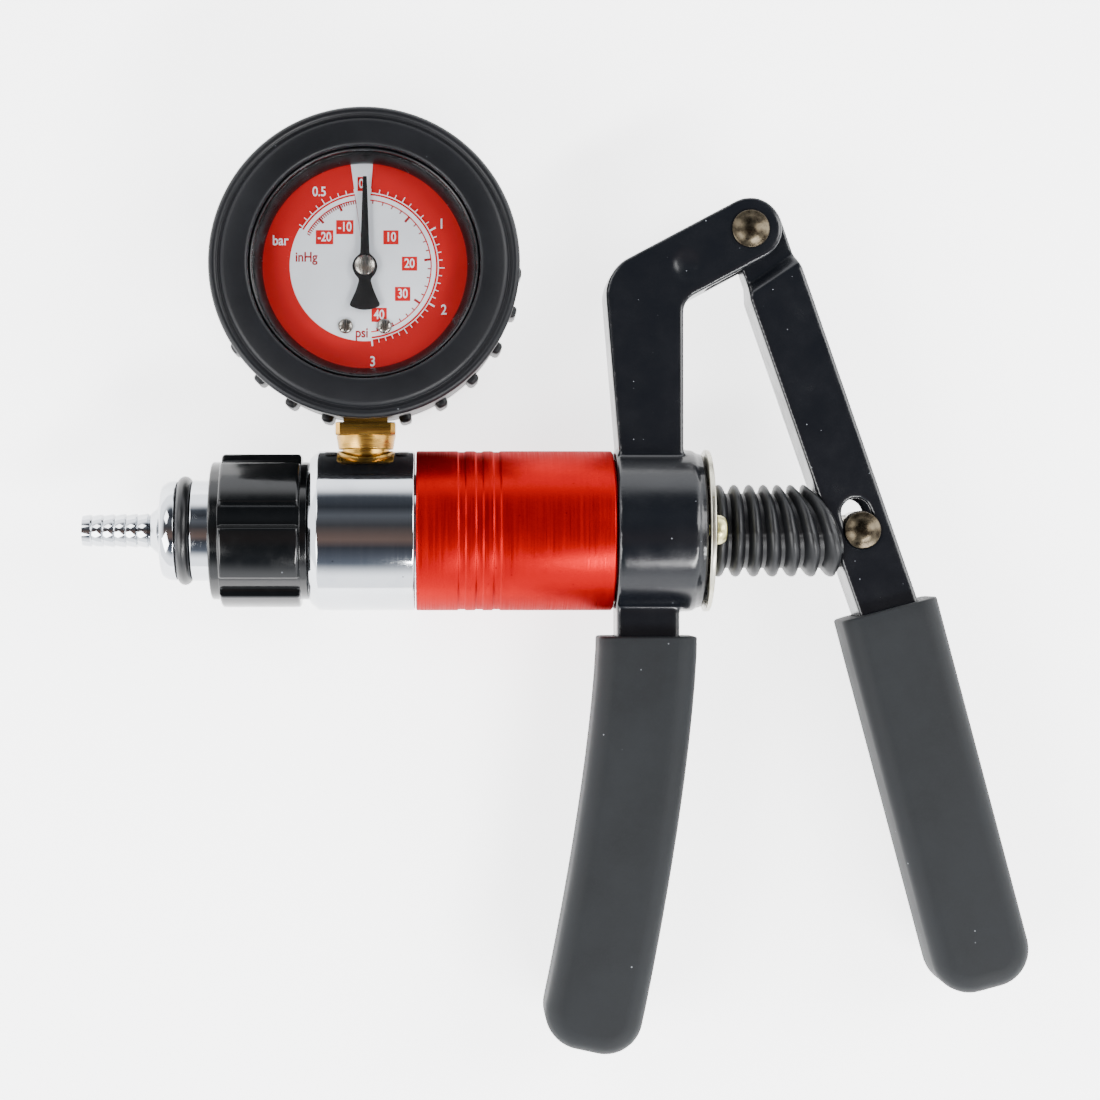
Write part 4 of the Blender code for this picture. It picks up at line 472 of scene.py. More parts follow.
def nickel_plate(name, base):
    """Satin nickel on a pressed disc, yellowed a little where it has stained."""
    return turned_metal(name, base, 0.3, 0.6 * MM, 0.02 * MM, linear(0x8D8460), 0.6)


def passivated_zinc(name, base):
    """Zinc plate with a yellow-green passivation, soft and slightly mottled."""
    return turned_metal(name, base, 0.3, 0.3 * MM, 0.02 * MM, linear(0x8C8A4E), 0.7)


def drawn_steel(name, base):
    """Plain drawn steel, bright with fine draw lines."""
    return turned_metal(name, base, 0.26, 0.3 * MM, 0.01 * MM, linear(0x6C665C), 0.6)


def gloss_moulding(name, base, rough=0.12):
    """Black moulded nylon with a polished skin and hairline flow marks."""
    material, tree, place = start(name)
    flow = add(tree, "TexNoise", Vector=place, Scale=1 / (3.0 * MM), Detail=3.0, Distortion=0.6)
    dust = specks(tree, place, 1.5 * MM, 0.025)
    surface(
        tree,
        Base_Color=add(tree, "Mix", COLOURS, Factor_Float=dust, A_Color=base, B_Color=linear(0x74787C)),
        Roughness=add(
            tree, "MapRange", Value=flow, From_Min=0.3, From_Max=0.7, To_Min=rough, To_Max=rough + 0.08
        ),
        Normal=add(tree, "Bump", Height=flow, Strength=0.1, Distance=0.04 * MM),
        IOR=1.53,
        Specular_IOR_Level=0.35,
    )
    return material


def screened_lacquer(name, base):
    """Screen-printed lacquer on the dial: even and semi-matte, with the screen's faint tooth."""
    material, tree, place = start(name)
    tooth = add(tree, "TexNoise", Vector=place, Scale=1 / (0.4 * MM), Detail=2.0)
    fade = add(tree, "TexNoise", Vector=place, Scale=1 / (12.0 * MM), Detail=2.0)
    soft = [channel * 0.93 for channel in base[:3]] + [1.0]
    faded = add(tree, "MapRange", Value=fade, From_Min=0.4, From_Max=0.7)
    surface(
        tree,
        Base_Color=add(tree, "Mix", COLOURS, Factor_Float=faded, A_Color=base, B_Color=soft),
        Roughness=add(tree, "MapRange", Value=tooth, From_Min=0.3, From_Max=0.7, To_Min=0.45, To_Max=0.55),
        Normal=add(tree, "Bump", Height=tooth, Strength=0.08, Distance=0.02 * MM),
        Specular_IOR_Level=0.3,
    )
    return material


def clear_glass(name):
    """Thin window glass: it lets the dial through and mirrors only as much as glass does, a little smeared."""
    material, tree, place = start(name)
    smear = add(tree, "TexNoise", Vector=place, Scale=1 / (11.0 * MM), Detail=3.0, Distortion=1.2)
    mirror = add(tree, "Fresnel", IOR=1.35)
    surface(
        tree,
        Base_Color=linear(0xF4F8FB),
        Metallic=1.0,
        Alpha=add(tree, "MapRange", Value=mirror, To_Max=0.8),
        Roughness=add(tree, "MapRange", Value=smear, From_Min=0.35, From_Max=0.7, To_Min=0.02, To_Max=0.06),
    )
    return material


def finish(key):
    """The material for one of the pump's finishes, made once."""
    made = bpy.data.materials.get("pump_" + key)
    if made:
        return made
    colours = bpy.context.scene.pump_colours
    makers = {
        "paint": (gloss_paint, colours.paint), "grip": (moulded_rubber, colours.grip, 0.5 * MM, 0.6, 1.5, 0.2),
        "boot": (moulded_rubber, colours.boot, 0.7 * MM, 0.38, 1.5, 0.22, 30.0 * MM),
        "bellows": (moulded_rubber, colours.bellows, 0.5 * MM, 0.36, 1.6, 0.3, 8.0 * MM),
        "seal": (moulded_rubber, linear(0x060709), 0.4 * MM, 0.28, 1.5, 0.35, 5.0 * MM),
        "anodise": (anodised_aluminium, colours.anodise), "chrome": (chrome_plate, linear(0xBDC0C4)),
        "collar": (gloss_moulding, colours.collar), "wall": (gloss_moulding, linear(0x07080A), 0.2),
        "brass": (bright_brass, colours.brass), "bronze": (antique_bronze, linear(0x342E25)),
        "nickel": (nickel_plate, linear(0xB8B5A6)), "zinc": (passivated_zinc, linear(0xC6C08C)),
        "steel": (drawn_steel, linear(0xA5A29A)), "white": (screened_lacquer, colours.dial_white),
        "red": (screened_lacquer, colours.dial_red), "ink": (screened_lacquer, linear(0x0C0C0E)),
        "dark_red": (screened_lacquer, linear(0x9A1A1E)), "glass": (clear_glass,),
    }
    make, *values = makers[key]
    return make("pump_" + key, *[list(value) if hasattr(value, "__len__") else value for value in values])


def span(node):
    """A node's lowest and highest corner in millimetres, counted from the barrel's right end."""
    return [(Vector(corner) - ORIGIN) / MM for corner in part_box(node)]


def cut_away(piece, cutter, solver="EXACT"):
    """Takes a closed form out of a piece."""
    tool = placed("cutter", mesh_from(cutter, "cutter"))
    with_modifier(piece, "BOOLEAN", operation="DIFFERENCE", object=tool, solver=solver, use_self=True)
    mesh = tool.data
    bpy.data.objects.remove(tool)
    bpy.data.meshes.remove(mesh)
    for polygon in piece.data.polygons:
        polygon.use_smooth = True
    piece.data.set_sharp_from_angle(angle=CREASE)


def make_barrel(sizes):
    """The red barrel, with its turned bands and the spigot that the casting holds."""
    gap, edge, soft, bore, spigot, inside = 0.3, 0.5, 0.12, 15.0, 17.4, 14.0
    left, outer = -sizes.red_length, sizes.radius
    floor, slope = outer - sizes.band_depth, sizes.band_depth * 1.3
    outline = [(-gap, spigot), (-gap, outer, edge)]
    for band in reversed(range(sizes.band_count)):
        low = left + 10.6 + band * sizes.band_pitch
        high = low + sizes.band_width
        outline += [(high, outer, soft), (high - slope, floor, soft), (low + slope, floor, soft), (low, outer, soft)]
    outline += [(left + gap, outer, edge), (left + gap, bore), (inside, bore), (inside, spigot, 0.4)]
    turned("red_barrel", outline, "anodise", "barrel", steps=160)


def make_head(sizes):
    """The chrome head between barrel and collar, with its plug, thread and valve pocket."""
    right, radius, bore = -sizes.red_length, sizes.radius, 5.0
    left, low = right - sizes.head_length, span("head")[0].x
    plug, pocket = right + 24.0, right + 19.0
    outline = [
        (plug, THREAD, 0.3), (right, THREAD), (right, radius, 0.55), (left + sizes.chamfer, radius, 0.25),
        (left, radius - 1.8, 0.25), (left, THREAD, 0.2), (low, THREAD, 0.3), (low, bore), (pocket, bore),
        (pocket, 8.3), (plug, 8.3, 0.2),
    ]
    turned("chrome_head", outline, "chrome", "head", steps=160)


def lobe_share(angle, lobes, share, flank):
    """How much of a lobe's height stands at an angle: one on a lobe, nought in a groove."""
    pitch = math.tau / lobes
    off = abs((angle + pitch / 2) % pitch - pitch / 2)
    rise = min(max((pitch * share / 2 - off) / flank + 0.5, 0.0), 1.0)
    return rise * rise * (3.0 - 2.0 * rise)


def make_collar(sizes):
    """The coupling collar: six broad lobes between two plain rings."""
    low, high = (corner.x for corner in span("coupling_collar"))
    left, right, ring, crest, groove = low + 2.5, high - 1.9, sizes.ring, sizes.crest, sizes.groove
    neck, mouth, step = 12.9, 15.0, low + 7.0
    outline = [
        (high, mouth, 0.3), (high, ring, 0.4), (right, ring, 0.2), (right, crest, 0.9), (left, crest, 0.9),
        (left, ring, 0.2), (low, ring, 0.6), (low, neck, 0.4), (step, neck), (step, mouth),
    ]
    bm = bmesh.new()
    spun(bm, outline, steps=360, closed=True)
    for vert in bm.verts:
        arm = (vert.co - ORIGIN) * Vector((0, 1, 1)) / MM
        if arm.length > groove:
            angle = math.atan2(-arm.y, arm.z) - sizes.turn
            stand = lobe_share(angle, sizes.lobes, sizes.lobe_share, math.radians(3.4))
            vert.co += arm.normalized() * (arm.length - groove) * (stand - 1.0) * MM
    finished("lobed_collar", bm, "collar", ["coupling_collar"], "collar")


def make_nozzle(sizes):
    """The chrome hose nozzle, with its flange, plug, groove, disc, cone and barbs, and its O-ring."""
    low, high = (corner.x for corner in span("hose_nozzle"))
    flange = high - 3.5
    plug, groove, plug_radius, groove_radius = flange - 12.2, flange - 15.9, 12.6, 9.9
    rim, face, disc = groove - 1.8, groove - 3.9, 12.5
    cone = face - 0.4
    root = cone - 2.4
    outline = [
        (high, sizes.bore), (high, THREAD, 0.3), (flange, THREAD, 0.3), (flange, plug_radius),
        (plug, plug_radius, 0.4), (plug, groove_radius), (groove, groove_radius), (groove, disc, 0.4),
        (rim, disc, 0.9), (face, 11.4, 0.7), (cone, 6.4, 0.8), (root, sizes.root, 0.6),
    ]
    for barb in range(sizes.barbs):
        crest = sizes.root + (sizes.tip - sizes.root) * barb / sizes.barbs
        right = root - barb * sizes.barb_pitch
        outline += [
            (right - 0.35, crest - sizes.barb_depth, 0.12), (right - 0.75, crest, 0.12),
            (right - sizes.barb_pitch, crest - sizes.barb_depth * 0.7),
        ]
    turned("chrome_nozzle", outline + [(low, sizes.bore, 0.3)], "chrome", "hose_nozzle")
    low, high = (corner.x for corner in span("nozzle_seal"))
    middle, ring, half = (low + high) / 2, 11.9, 1.75
    square = ((-half, -half), (half, -half), (half, half), (-half, half))
    outline = [(middle + along, ring + out, half * ROUND) for along, out in square]
    turned("nozzle_o_ring", outline, "seal", "nozzle_seal", steps=96)


def make_end_cap():
    """The nickel disc that closes the boss, and its two pan-head screws."""
    low, high = (corner.x for corner in span("end_cap"))
    hole, rim = 6.2, 20.3
    outline = [(low, hole, 0.1), (low, rim, 0.35), (high, rim, 0.35), (high, hole, 0.2)]
    turned("nickel_end_cap", outline, "nickel", "end_cap")
    shank, head = 1.5, 3.6
    for node, out in (("cap_screw_front", 15.6), ("cap_screw_back", -15.6)):
        low, high = (corner.x for corner in span(node))
        seat = high - 2.5
        outline = [
            (low, 0.0), (low, shank, 0.3), (seat, shank), (seat, head, 0.2), (high - 1.0, head, 1.0),
            (high, 2.5, 1.6), (high, 0.0),
        ]
        centre = here(0.0, 0.0, out)
        screw = turned("pan_" + node, outline, "zinc", node, centre, steps=64, closed=False)
        cross = bmesh.new()
        for wide, tall in ((4.2, 0.9), (0.9, 4.2)):
            box(cross, here(high, 0.0, out), (2.4, wide, tall))
        cut_away(screw, cross)


def make_rivets():
    """The domed rivet at the pivot and the domed pin at the rod, each with a head at both ends."""
    rise, steps = 1.85, 6
    for node, body, shank in (("pivot_rivet", "pump_body", 3.1), ("rod_pin", "rod", 2.9)):
        low, high = span(node)
        half, head = (high.z - low.z) / 2, (high.x - low.x) / 2
        rim = half - rise
        dome = [(half - rise * (step / steps) ** 2, head * step / steps, 0.0) for step in range(steps)]
        dome += [(rim + 0.35, head, 0.3), (rim, head, 0.1), (rim, shank, 0.0)]
        outline = dome + [(-along, out, radius) for along, out, radius in reversed(dome)]
        bm = bmesh.new()
        spun(bm, outline, here(*(low + high) / 2), OUT, ALONG, 64)
        finished(node + "_bronze", bm, "bronze", [node], body)


def make_stem():
    """The brass stem of the gauge: thread ring, turned cone and the flats that a spanner takes."""
    low, high = span("gauge_stem")
    middle, thread, ring, flats = (low.x + high.x) / 2, 5.9, 20.3, 26.6
    outline = [
        (low.y, 0.0), (low.y, thread, 0.3), (ring, thread), (ring, 6.9, 0.3), (21.0, 7.0, 0.3),
        (23.8, 7.45, 0.15), (24.0, 0.0),
    ]
    bm = bmesh.new()
    spun(bm, outline, here(middle), UP, OUT)
    square = bmesh.new()
    box(square, here(middle, 25.3), (14.9, 3.2, 14.9))
    bevel(square, [e for e in square.edges if abs((e.verts[0].co - e.verts[1].co).y) > MM], 1.1, 1)
    round_edges(square, 0.25, segments=2)
    take_in(bm, square)
    box(bm, here(middle, (high.y + flats) / 2), (11.0, high.y - flats, 10.0))
    finished("brass_stem", bm, "brass", ["gauge_stem"])


DIAL_CENTRE = Vector(joints["pointer_swing"]["pos_m"])
GAUGE = (DIAL_CENTRE - ORIGIN) / MM
DIAL_TOP = span("gauge_dial")[1].z
PSI, INCHES = 0.0689476, 0.0338639  # one psi and one inch of mercury, in bar


def on_gauge(bm, outline, steps=128, closed=True):
    """Turns an outline of (radius, height out of the dial, corner radius) about the gauge's axis."""
    outline = [(out, radius, *corner) for radius, out, *corner in outline]
    spun(bm, outline, here(GAUGE.x, GAUGE.y), OUT, UP, steps, closed)


def make_boot(sizes):
    """The rubber boot: a domed front band with its bead and groove, a ribbed side and an open back."""
    low, high = span("gauge_boot")
    back, front, rim, side = low.z, high.z, sizes.rim, sizes.rim - 0.6
    mouth, hole, inside, sheet = 28.4, 12.0, 32.3, back + 2.4
    outline = [
        (mouth, front - 2.9), (mouth, front - 0.1, 0.8), (32.0, front, 2.0), (34.9, front - 0.5, 0.7),
        (35.4, front - 1.3, 0.35), (36.0, front - 1.2, 0.35), (36.5, front - 0.5, 0.7), (rim, front - 1.0, 1.1),
        (rim, front - 4.6, 0.5), (side, front - 5.2, 0.4), (side - 0.2, back + 3.0, 1.5), (side - 3.0, back, 1.5),
        (hole, back, 0.5), (hole, sheet, 0.4), (inside, sheet), (inside, front - 2.9),
    ]
    bm = bmesh.new()
    on_gauge(bm, outline, 180)
    rib_low, rib_high = back + 3.0, back + 17.0
    reach = sizes.rib_height + 2.4
    middle = here(GAUGE.x, GAUGE.y - side - sizes.rib_height + reach / 2, (rib_low + rib_high) / 2)
    for rib in range(1, sizes.ribs):
        bar = bmesh.new()
        box(bar, middle, (sizes.rib_width, reach, rib_high - rib_low))
        bevel(bar, bar.edges[:], 1.15, 4)
        bmesh.ops.rotate(
            bar, cent=DIAL_CENTRE, matrix=Matrix.Rotation(math.tau * rib / sizes.ribs, 3, "Z"), verts=bar.verts
        )
        take_in(bm, bar)
    finished("ribbed_boot", bm, "boot", ["gauge_boot"])


def make_case(sizes):
    """The gauge's cup, the black wall between dial and glass, and the glass."""
    low, high = (corner.z for corner in span("gauge_case"))
    outer, inner, sheet = 32.0, 31.2, low + 0.8
    outline = [
        (0.0, low), (outer, low, 1.5), (outer, high, 0.2), (inner, high, 0.2), (inner, sheet, 0.8), (0.0, sheet)
    ]
    bm = bmesh.new()
    on_gauge(bm, outline, closed=False)
    finished("steel_cup", bm, "paint", ["gauge_case"])
    low, high = (corner.z for corner in span("gauge_bezel"))
    glass_low, glass_high = (corner.z for corner in span("gauge_lens"))
    ledge, dial, outer, inner = glass_low - 0.3, sizes.dial, 30.9, 29.8
    outline = [
        (outer, high, 0.2), (outer, low), (dial, low, 0.25), (dial + 0.3, low + 1.2, 0.4), (27.3, ledge, 0.5),
        (inner, ledge), (inner, high, 0.2),
    ]
    foot, top, inner, outer = glass_high - 0.2, glass_high + 1.1, 27.5, 28.35
    bm = bmesh.new()
    on_gauge(bm, outline)
    on_gauge(bm, [(inner, foot), (inner, top, 0.42), (outer, top, 0.42), (outer, foot)])
    finished("black_wall", bm, "wall", ["gauge_bezel"])
    bm = bmesh.new()
    outline = [(0.0, glass_low), (29.5, glass_low, 0.2), (29.5, glass_high, 0.2), (0.0, glass_high)]
    on_gauge(bm, outline, closed=False)
    finished("dial_glass", bm, "glass", ["gauge_lens"])


def dial_place(angle, radius, height=0.0):
    """A place on the dial: clockwise from its top, out from its centre and above its face."""
    return here(GAUGE.x + radius * math.sin(angle), GAUGE.y + radius * math.cos(angle), DIAL_TOP + height)


def ring_print(bm, inner, outer, start_at, stop_at, layer, steps=90):
    """A printed arc between two angles, so many hairs above the dial."""
    part = bmesh.new()
    low, high = (layer - 1) * HAIR, layer * HAIR
    square = [(inner, low), (outer, low), (outer, high), (inner, high)]
    line_up(part, [(dial_place(start_at, radius, out),) for radius, out in square], closed=True)
    cap = bmesh.ops.contextual_create(part, geom=part.edges[:])["faces"]
    geom = cap + part.edges[:] + part.verts[:]
    bmesh.ops.spin(part, geom=geom, cent=DIAL_CENTRE, axis=-OUT, angle=stop_at - start_at, steps=steps)
    clean(part)
    take_in(bm, part)


def tick(bm, angle, inner, outer, width):
    """One printed graduation line."""
    box(bm, dial_place(angle, (inner + outer) / 2, 2.5 * HAIR), (width, outer - inner, HAIR), -angle)


def lettering(bm, words, along, up, size, layer=2.0, squeeze=0.86, weight=0.05):
    """Printed figures or letters, middled on a place on the dial, so many hairs above it."""
    curve = bpy.data.curves.new("lettering", "FONT")
    curve.body, curve.size, curve.offset = words, size * MM, weight * MM
    curve.align_x, curve.align_y, curve.extrude = "CENTER", "CENTER", HAIR * MM / 2
    text = placed("lettering", curve)
    bpy.context.view_layer.update()
    mesh = bpy.data.meshes.new_from_object(text.evaluated_get(bpy.context.evaluated_depsgraph_get()))
    place = here(GAUGE.x + along, GAUGE.y + up, DIAL_TOP + layer * HAIR)
    mesh.transform(Matrix.Translation(place) @ Matrix.Diagonal((squeeze, 1.0, 1.0, 1.0)))
    bm.from_mesh(mesh)
    bpy.data.objects.remove(text)
    bpy.data.curves.remove(curve)
    bpy.data.meshes.remove(mesh)


def bar_angle(bar):
    """Where a pressure in bar stands, clockwise from the dial's top: the scale closes up a little as it rises."""
    return math.radians(-2.0 + (65.5 * bar - 2.2 * bar * bar if bar > 0.0 else 62.0 * bar))


def make_dial(sizes):
    """The printed dial: white disc, red ring, the scale of bar outside and those of psi and inches inside."""
    low, radius = span("gauge_dial")[0].z, 30.9
    bm = bmesh.new()
    on_gauge(bm, [(0.0, low), (radius, low), (radius, DIAL_TOP), (0.0, DIAL_TOP)], closed=False)
    finished("dial_plate", bm, "white", ["gauge_dial"])
    red, white, dark = bmesh.new(), bmesh.new(), bmesh.new()
    gap_right, gap_left = math.radians(4.4), math.radians(-8.0)
    ring_print(red, sizes.white, 30.8, gap_right, math.tau + gap_left, 2, 180)
    for start_at, stop_at in ((bar_angle(-0.93), gap_left), (gap_right, bar_angle(3.0))):
        ring_print(red, 17.55, sizes.white + 0.1, start_at, stop_at, 2)
        ring_print(red, 16.2, 16.5, start_at, stop_at, 2)
        ring_print(white, 18.0, 18.25, start_at, stop_at, 3)
    ring_print(dark, 3.2, 17.6, gap_left - math.radians(0.4), gap_left, 2, 1)
    scales = (
        (white, range(-9, 31), 0.1, 18.1, (19.9, 0.42), (19.7, 0.2), (19.2, 0.2)),
        (dark, range(2, 44, 2), PSI, 16.35, (14.7, 0.6), (15.5, 0.3), (15.5, 0.3)),
        (dark, range(1, 29), -INCHES, 16.35, (14.7, 0.6), (15.5, 0.3), (15.5, 0.3)),
    )
    for print_bm, values, unit, base, ten, five, one in scales:
        for value in values:
            angle = bar_angle(value * unit)
            if not gap_left < angle < gap_right:
                reach, width = ten if value % 10 == 0 else five if value % 5 == 0 else one
                tick(print_bm, angle, min(base, reach), max(base, reach), width)
    for words, along, up, size in (
        ("0.5", -11.3, 18.3, 3.3), ("1", 18.9, 10.4, 3.5), ("2", 19.5, -10.9, 3.5), ("3", 1.9, -23.7, 3.5),
        ("bar", -20.9, 6.2, 3.5),
    ):
        lettering(white, words, along, up, size, 2.6)
    for words, along, up in (
        ("-10", -5.0, 9.6), ("-20", -10.0, 7.1), ("10", 6.4, 7.1), ("20", 11.0, 0.6), ("30", 9.3, -6.9),
        ("40", 3.5, -12.1), ("0", -0.9, 20.3),
    ):
        wide = {1: 1.9, 2: 3.8, 3: 4.3}[len(words)]
        box(red, here(GAUGE.x + along, GAUGE.y + up, DIAL_TOP + 1.5 * HAIR), (wide, 3.5, HAIR))
        lettering(white, words, along, up, 3.2, 2.7, 0.8)
    lettering(dark, "inHg", -14.5, 2.1, 3.4, weight=0.07)
    lettering(dark, "psi", -0.8, -16.6, 3.4, weight=0.07)
    for name, bm, key in (("red", red, "red"), ("white", white, "white"), ("dark", dark, "dark_red")):
        finished(f"dial_{name}_print", bm, key)
    shank, head = 0.7, 1.85
    for node in ("dial_screw_left", "dial_screw_right"):
        low, high = span(node)
        middle, low, high = (low + high) / 2, low.z, high.z
        seat = high - 0.9
        outline = [
            (low, 0.0), (low, shank), (seat, shank), (seat, head, 0.1), (high - 0.4, 1.8, 0.3), (high, 1.1, 0.5),
            (high, 0.0),
        ]
        bm = bmesh.new()
        spun(bm, outline, here(middle.x, middle.y), OUT, UP, 48)
        screw = finished("cheese_head_" + node[5:], bm, "steel", [node])
        slot = bmesh.new()
        box(slot, here(middle.x, middle.y, high), (4.0, 0.4, 0.8), math.radians(35.0))
        cut_away(screw, slot)


def make_pointer(sizes):
    """The black pointer with its flared tail, and the metal cap over its hub."""
    low, high = (corner.z for corner in span("gauge_pointer"))
    half = [
        (0.48, sizes.pointer, 0.1), (1.15, 2.8, 0.4), (3.1, 1.6, 1.8), (3.1, -1.8, 1.6), (1.4, -3.3, 1.0),
        (1.9, -5.6, 1.5), (3.9, -9.9, 0.9), (2.0, -11.0, 1.6),
    ]
    outline = half + [(-across, up, radius) for across, up, radius in reversed(half)]
    bm = bmesh.new()
    extruded(bm, [(GAUGE.x + across, GAUGE.y + up, r) for across, up, r in outline], low, high, 0.1, segments=2)
    finished("black_pointer", bm, "ink", ["gauge_pointer"], "pointer")
    low, high = (corner.z for corner in span("pointer_cap"))
    dome = [
        (low, 0.0), (low, 2.5, 0.1), (low + 0.4, 2.5, 0.25), (high - 0.1, 1.4, 0.8), (high, 0.5, 0.3), (high, 0.0)
    ]
    bm = bmesh.new()
    spun(bm, dome, here(GAUGE.x, GAUGE.y), OUT, UP, 64)
    finished("bright_pointer_cap", bm, "steel", ["pointer_cap"], "pointer")


ARM_SLOPE, LEVER_ANGLE, GRIP_ANGLE = math.radians(28.0), math.radians(19.1), math.radians(14.8)
PIVOT = Vector((PIVOT_ALONG, PIVOT_UP))
LEVER_DOWN = Vector((math.sin(LEVER_ANGLE), -math.cos(LEVER_ANGLE)))
LEVER_ACROSS = Vector((math.cos(LEVER_ANGLE), math.sin(LEVER_ANGLE)))
PIN_DOWN = (Vector((PIN_ALONG, 0.0)) - PIVOT).dot(LEVER_DOWN)
PIN_ACROSS = (Vector((PIN_ALONG, 0.0)) - PIVOT).dot(LEVER_ACROSS)
STEM_MIDDLE, STEM_WIDTH, TANG_DEPTH, LEVER_WIDTH = 8.35, 15.7, 15.0, 15.0
FIXED_LENGTH, FIXED_LEAN, FIXED_DROP = 103.0, 15.5, 26.4
LEVER_BEND, LEVER_GRIP = 100.6, 98.0


def crossing(point, angle, other, other_angle):
    """Where two lines meet, each given by a point and its direction."""
    along = Vector((math.cos(angle), math.sin(angle)))
    normal = Vector((-math.sin(other_angle), math.cos(other_angle)))
    return Vector(point) + along * ((Vector(other) - Vector(point)).dot(normal) / along.dot(normal))


def fixed_line(share):
    """The bent centreline of the fixed grip at a share of its length, and its direction."""
    bend, bent = 1.45, max(share, 0.0)
    place = Vector((STEM_MIDDLE - FIXED_LEAN * bent**bend, -FIXED_DROP - FIXED_LENGTH * share))
    return place, Vector((-FIXED_LEAN * bend * bent ** (bend - 1.0), -FIXED_LENGTH)).normalized()


def lever_line(share):
    """The straight centreline of the lever's grip at a share of its length, and its direction."""
    along = Vector((math.sin(GRIP_ANGLE), -math.cos(GRIP_ANGLE)))
    return PIVOT + LEVER_ACROSS * PIN_ACROSS + LEVER_DOWN * LEVER_BEND + along * LEVER_GRIP * share, along


def strip(line, width, first, last, end_radius, steps=14):
    """The outline of a strip about a centreline, with a rounded far end."""
    left, right = [], []
    for share in [first + (last - first) * step / steps for step in range(steps - 1)] + [last]:
        centre, along = line(share)
        side = Vector((along.y, -along.x)) * width / 2
        radius = end_radius if share == last else 0.0
        left.append((*(centre + side), radius))
        right.append((*(centre - side), radius))
    return left + right[::-1]


def make_casting():
    """The painted casting: boss, arm with its forked eye, and the stem inside the fixed grip."""
    outer, mouth, seat, bore, ledge, step, right, hole = 20.25, 17.7, 14.3, 15.0, 16.0, 19.3, 22.4, 6.2
    boss = [
        (0.0, mouth), (0.0, outer, 0.8), (20.1, outer, 0.5), (20.2, step), (right, step, 0.3), (right, hole),
        (ledge, hole), (ledge, bore), (seat, bore), (seat, mouth),
    ]
    casting = turned("casting", boss, "paint", "cast_frame", steps=160)
    out = Vector((math.cos(ARM_SLOPE), math.sin(ARM_SLOPE))) * 7.9
    up = Vector((-out.y, out.x))
    left, right, inside, eye = (0.9, outer), (17.1, outer), (0.0, 12.0), 7.89
    upright, lean = math.pi / 2, math.pi / 2 + math.radians(4.7)
    arm = [
        crossing(left, lean, inside, 0.0), (*crossing(left, lean, PIVOT + up, ARM_SLOPE), 6.5),
        (*(PIVOT + up + out), eye), (*(PIVOT - up + out), eye),
        (*crossing(right, upright, PIVOT - up, ARM_SLOPE), 2.6), crossing(right, upright, inside, 0.0),
    ]
    half, stem, edge = 8.5, TANG_DEPTH / 2, 0.9
    bm = extruded(bmesh.new(), arm, -half, half, edge)
    extruded(bm, strip(fixed_line, STEM_WIDTH, -0.12, 0.3, 0.0), -stem, stem, edge)
    limbs = placed("limbs", mesh_from(bm, "limbs"))
    cut_away(limbs, spun(bmesh.new(), [(-1.0, 0.0), (-1.0, 18.5), (30.0, 18.5), (30.0, 0.0)]), "MANIFOLD")
    cut_away(limbs, box(bmesh.new(), here(*PIVOT), (31.0, 40.0, 10.6), ARM_SLOPE), "MANIFOLD")
    dimple = bmesh.new()
    bmesh.ops.create_uvsphere(dimple, u_segments=96, v_segments=64, radius=10.5 * MM)
    bmesh.ops.translate(dimple, vec=here(17.8, 66.2, 18.4), verts=dimple.verts)
    cut_away(limbs, dimple, "MANIFOLD")
    bm = bmesh.new()
    bm.from_mesh(casting.data)
    bm.from_mesh(limbs.data)
    bm.to_mesh(casting.data)
    bm.free()
    bpy.data.objects.remove(limbs)
    softened(casting, 0.5, 5)


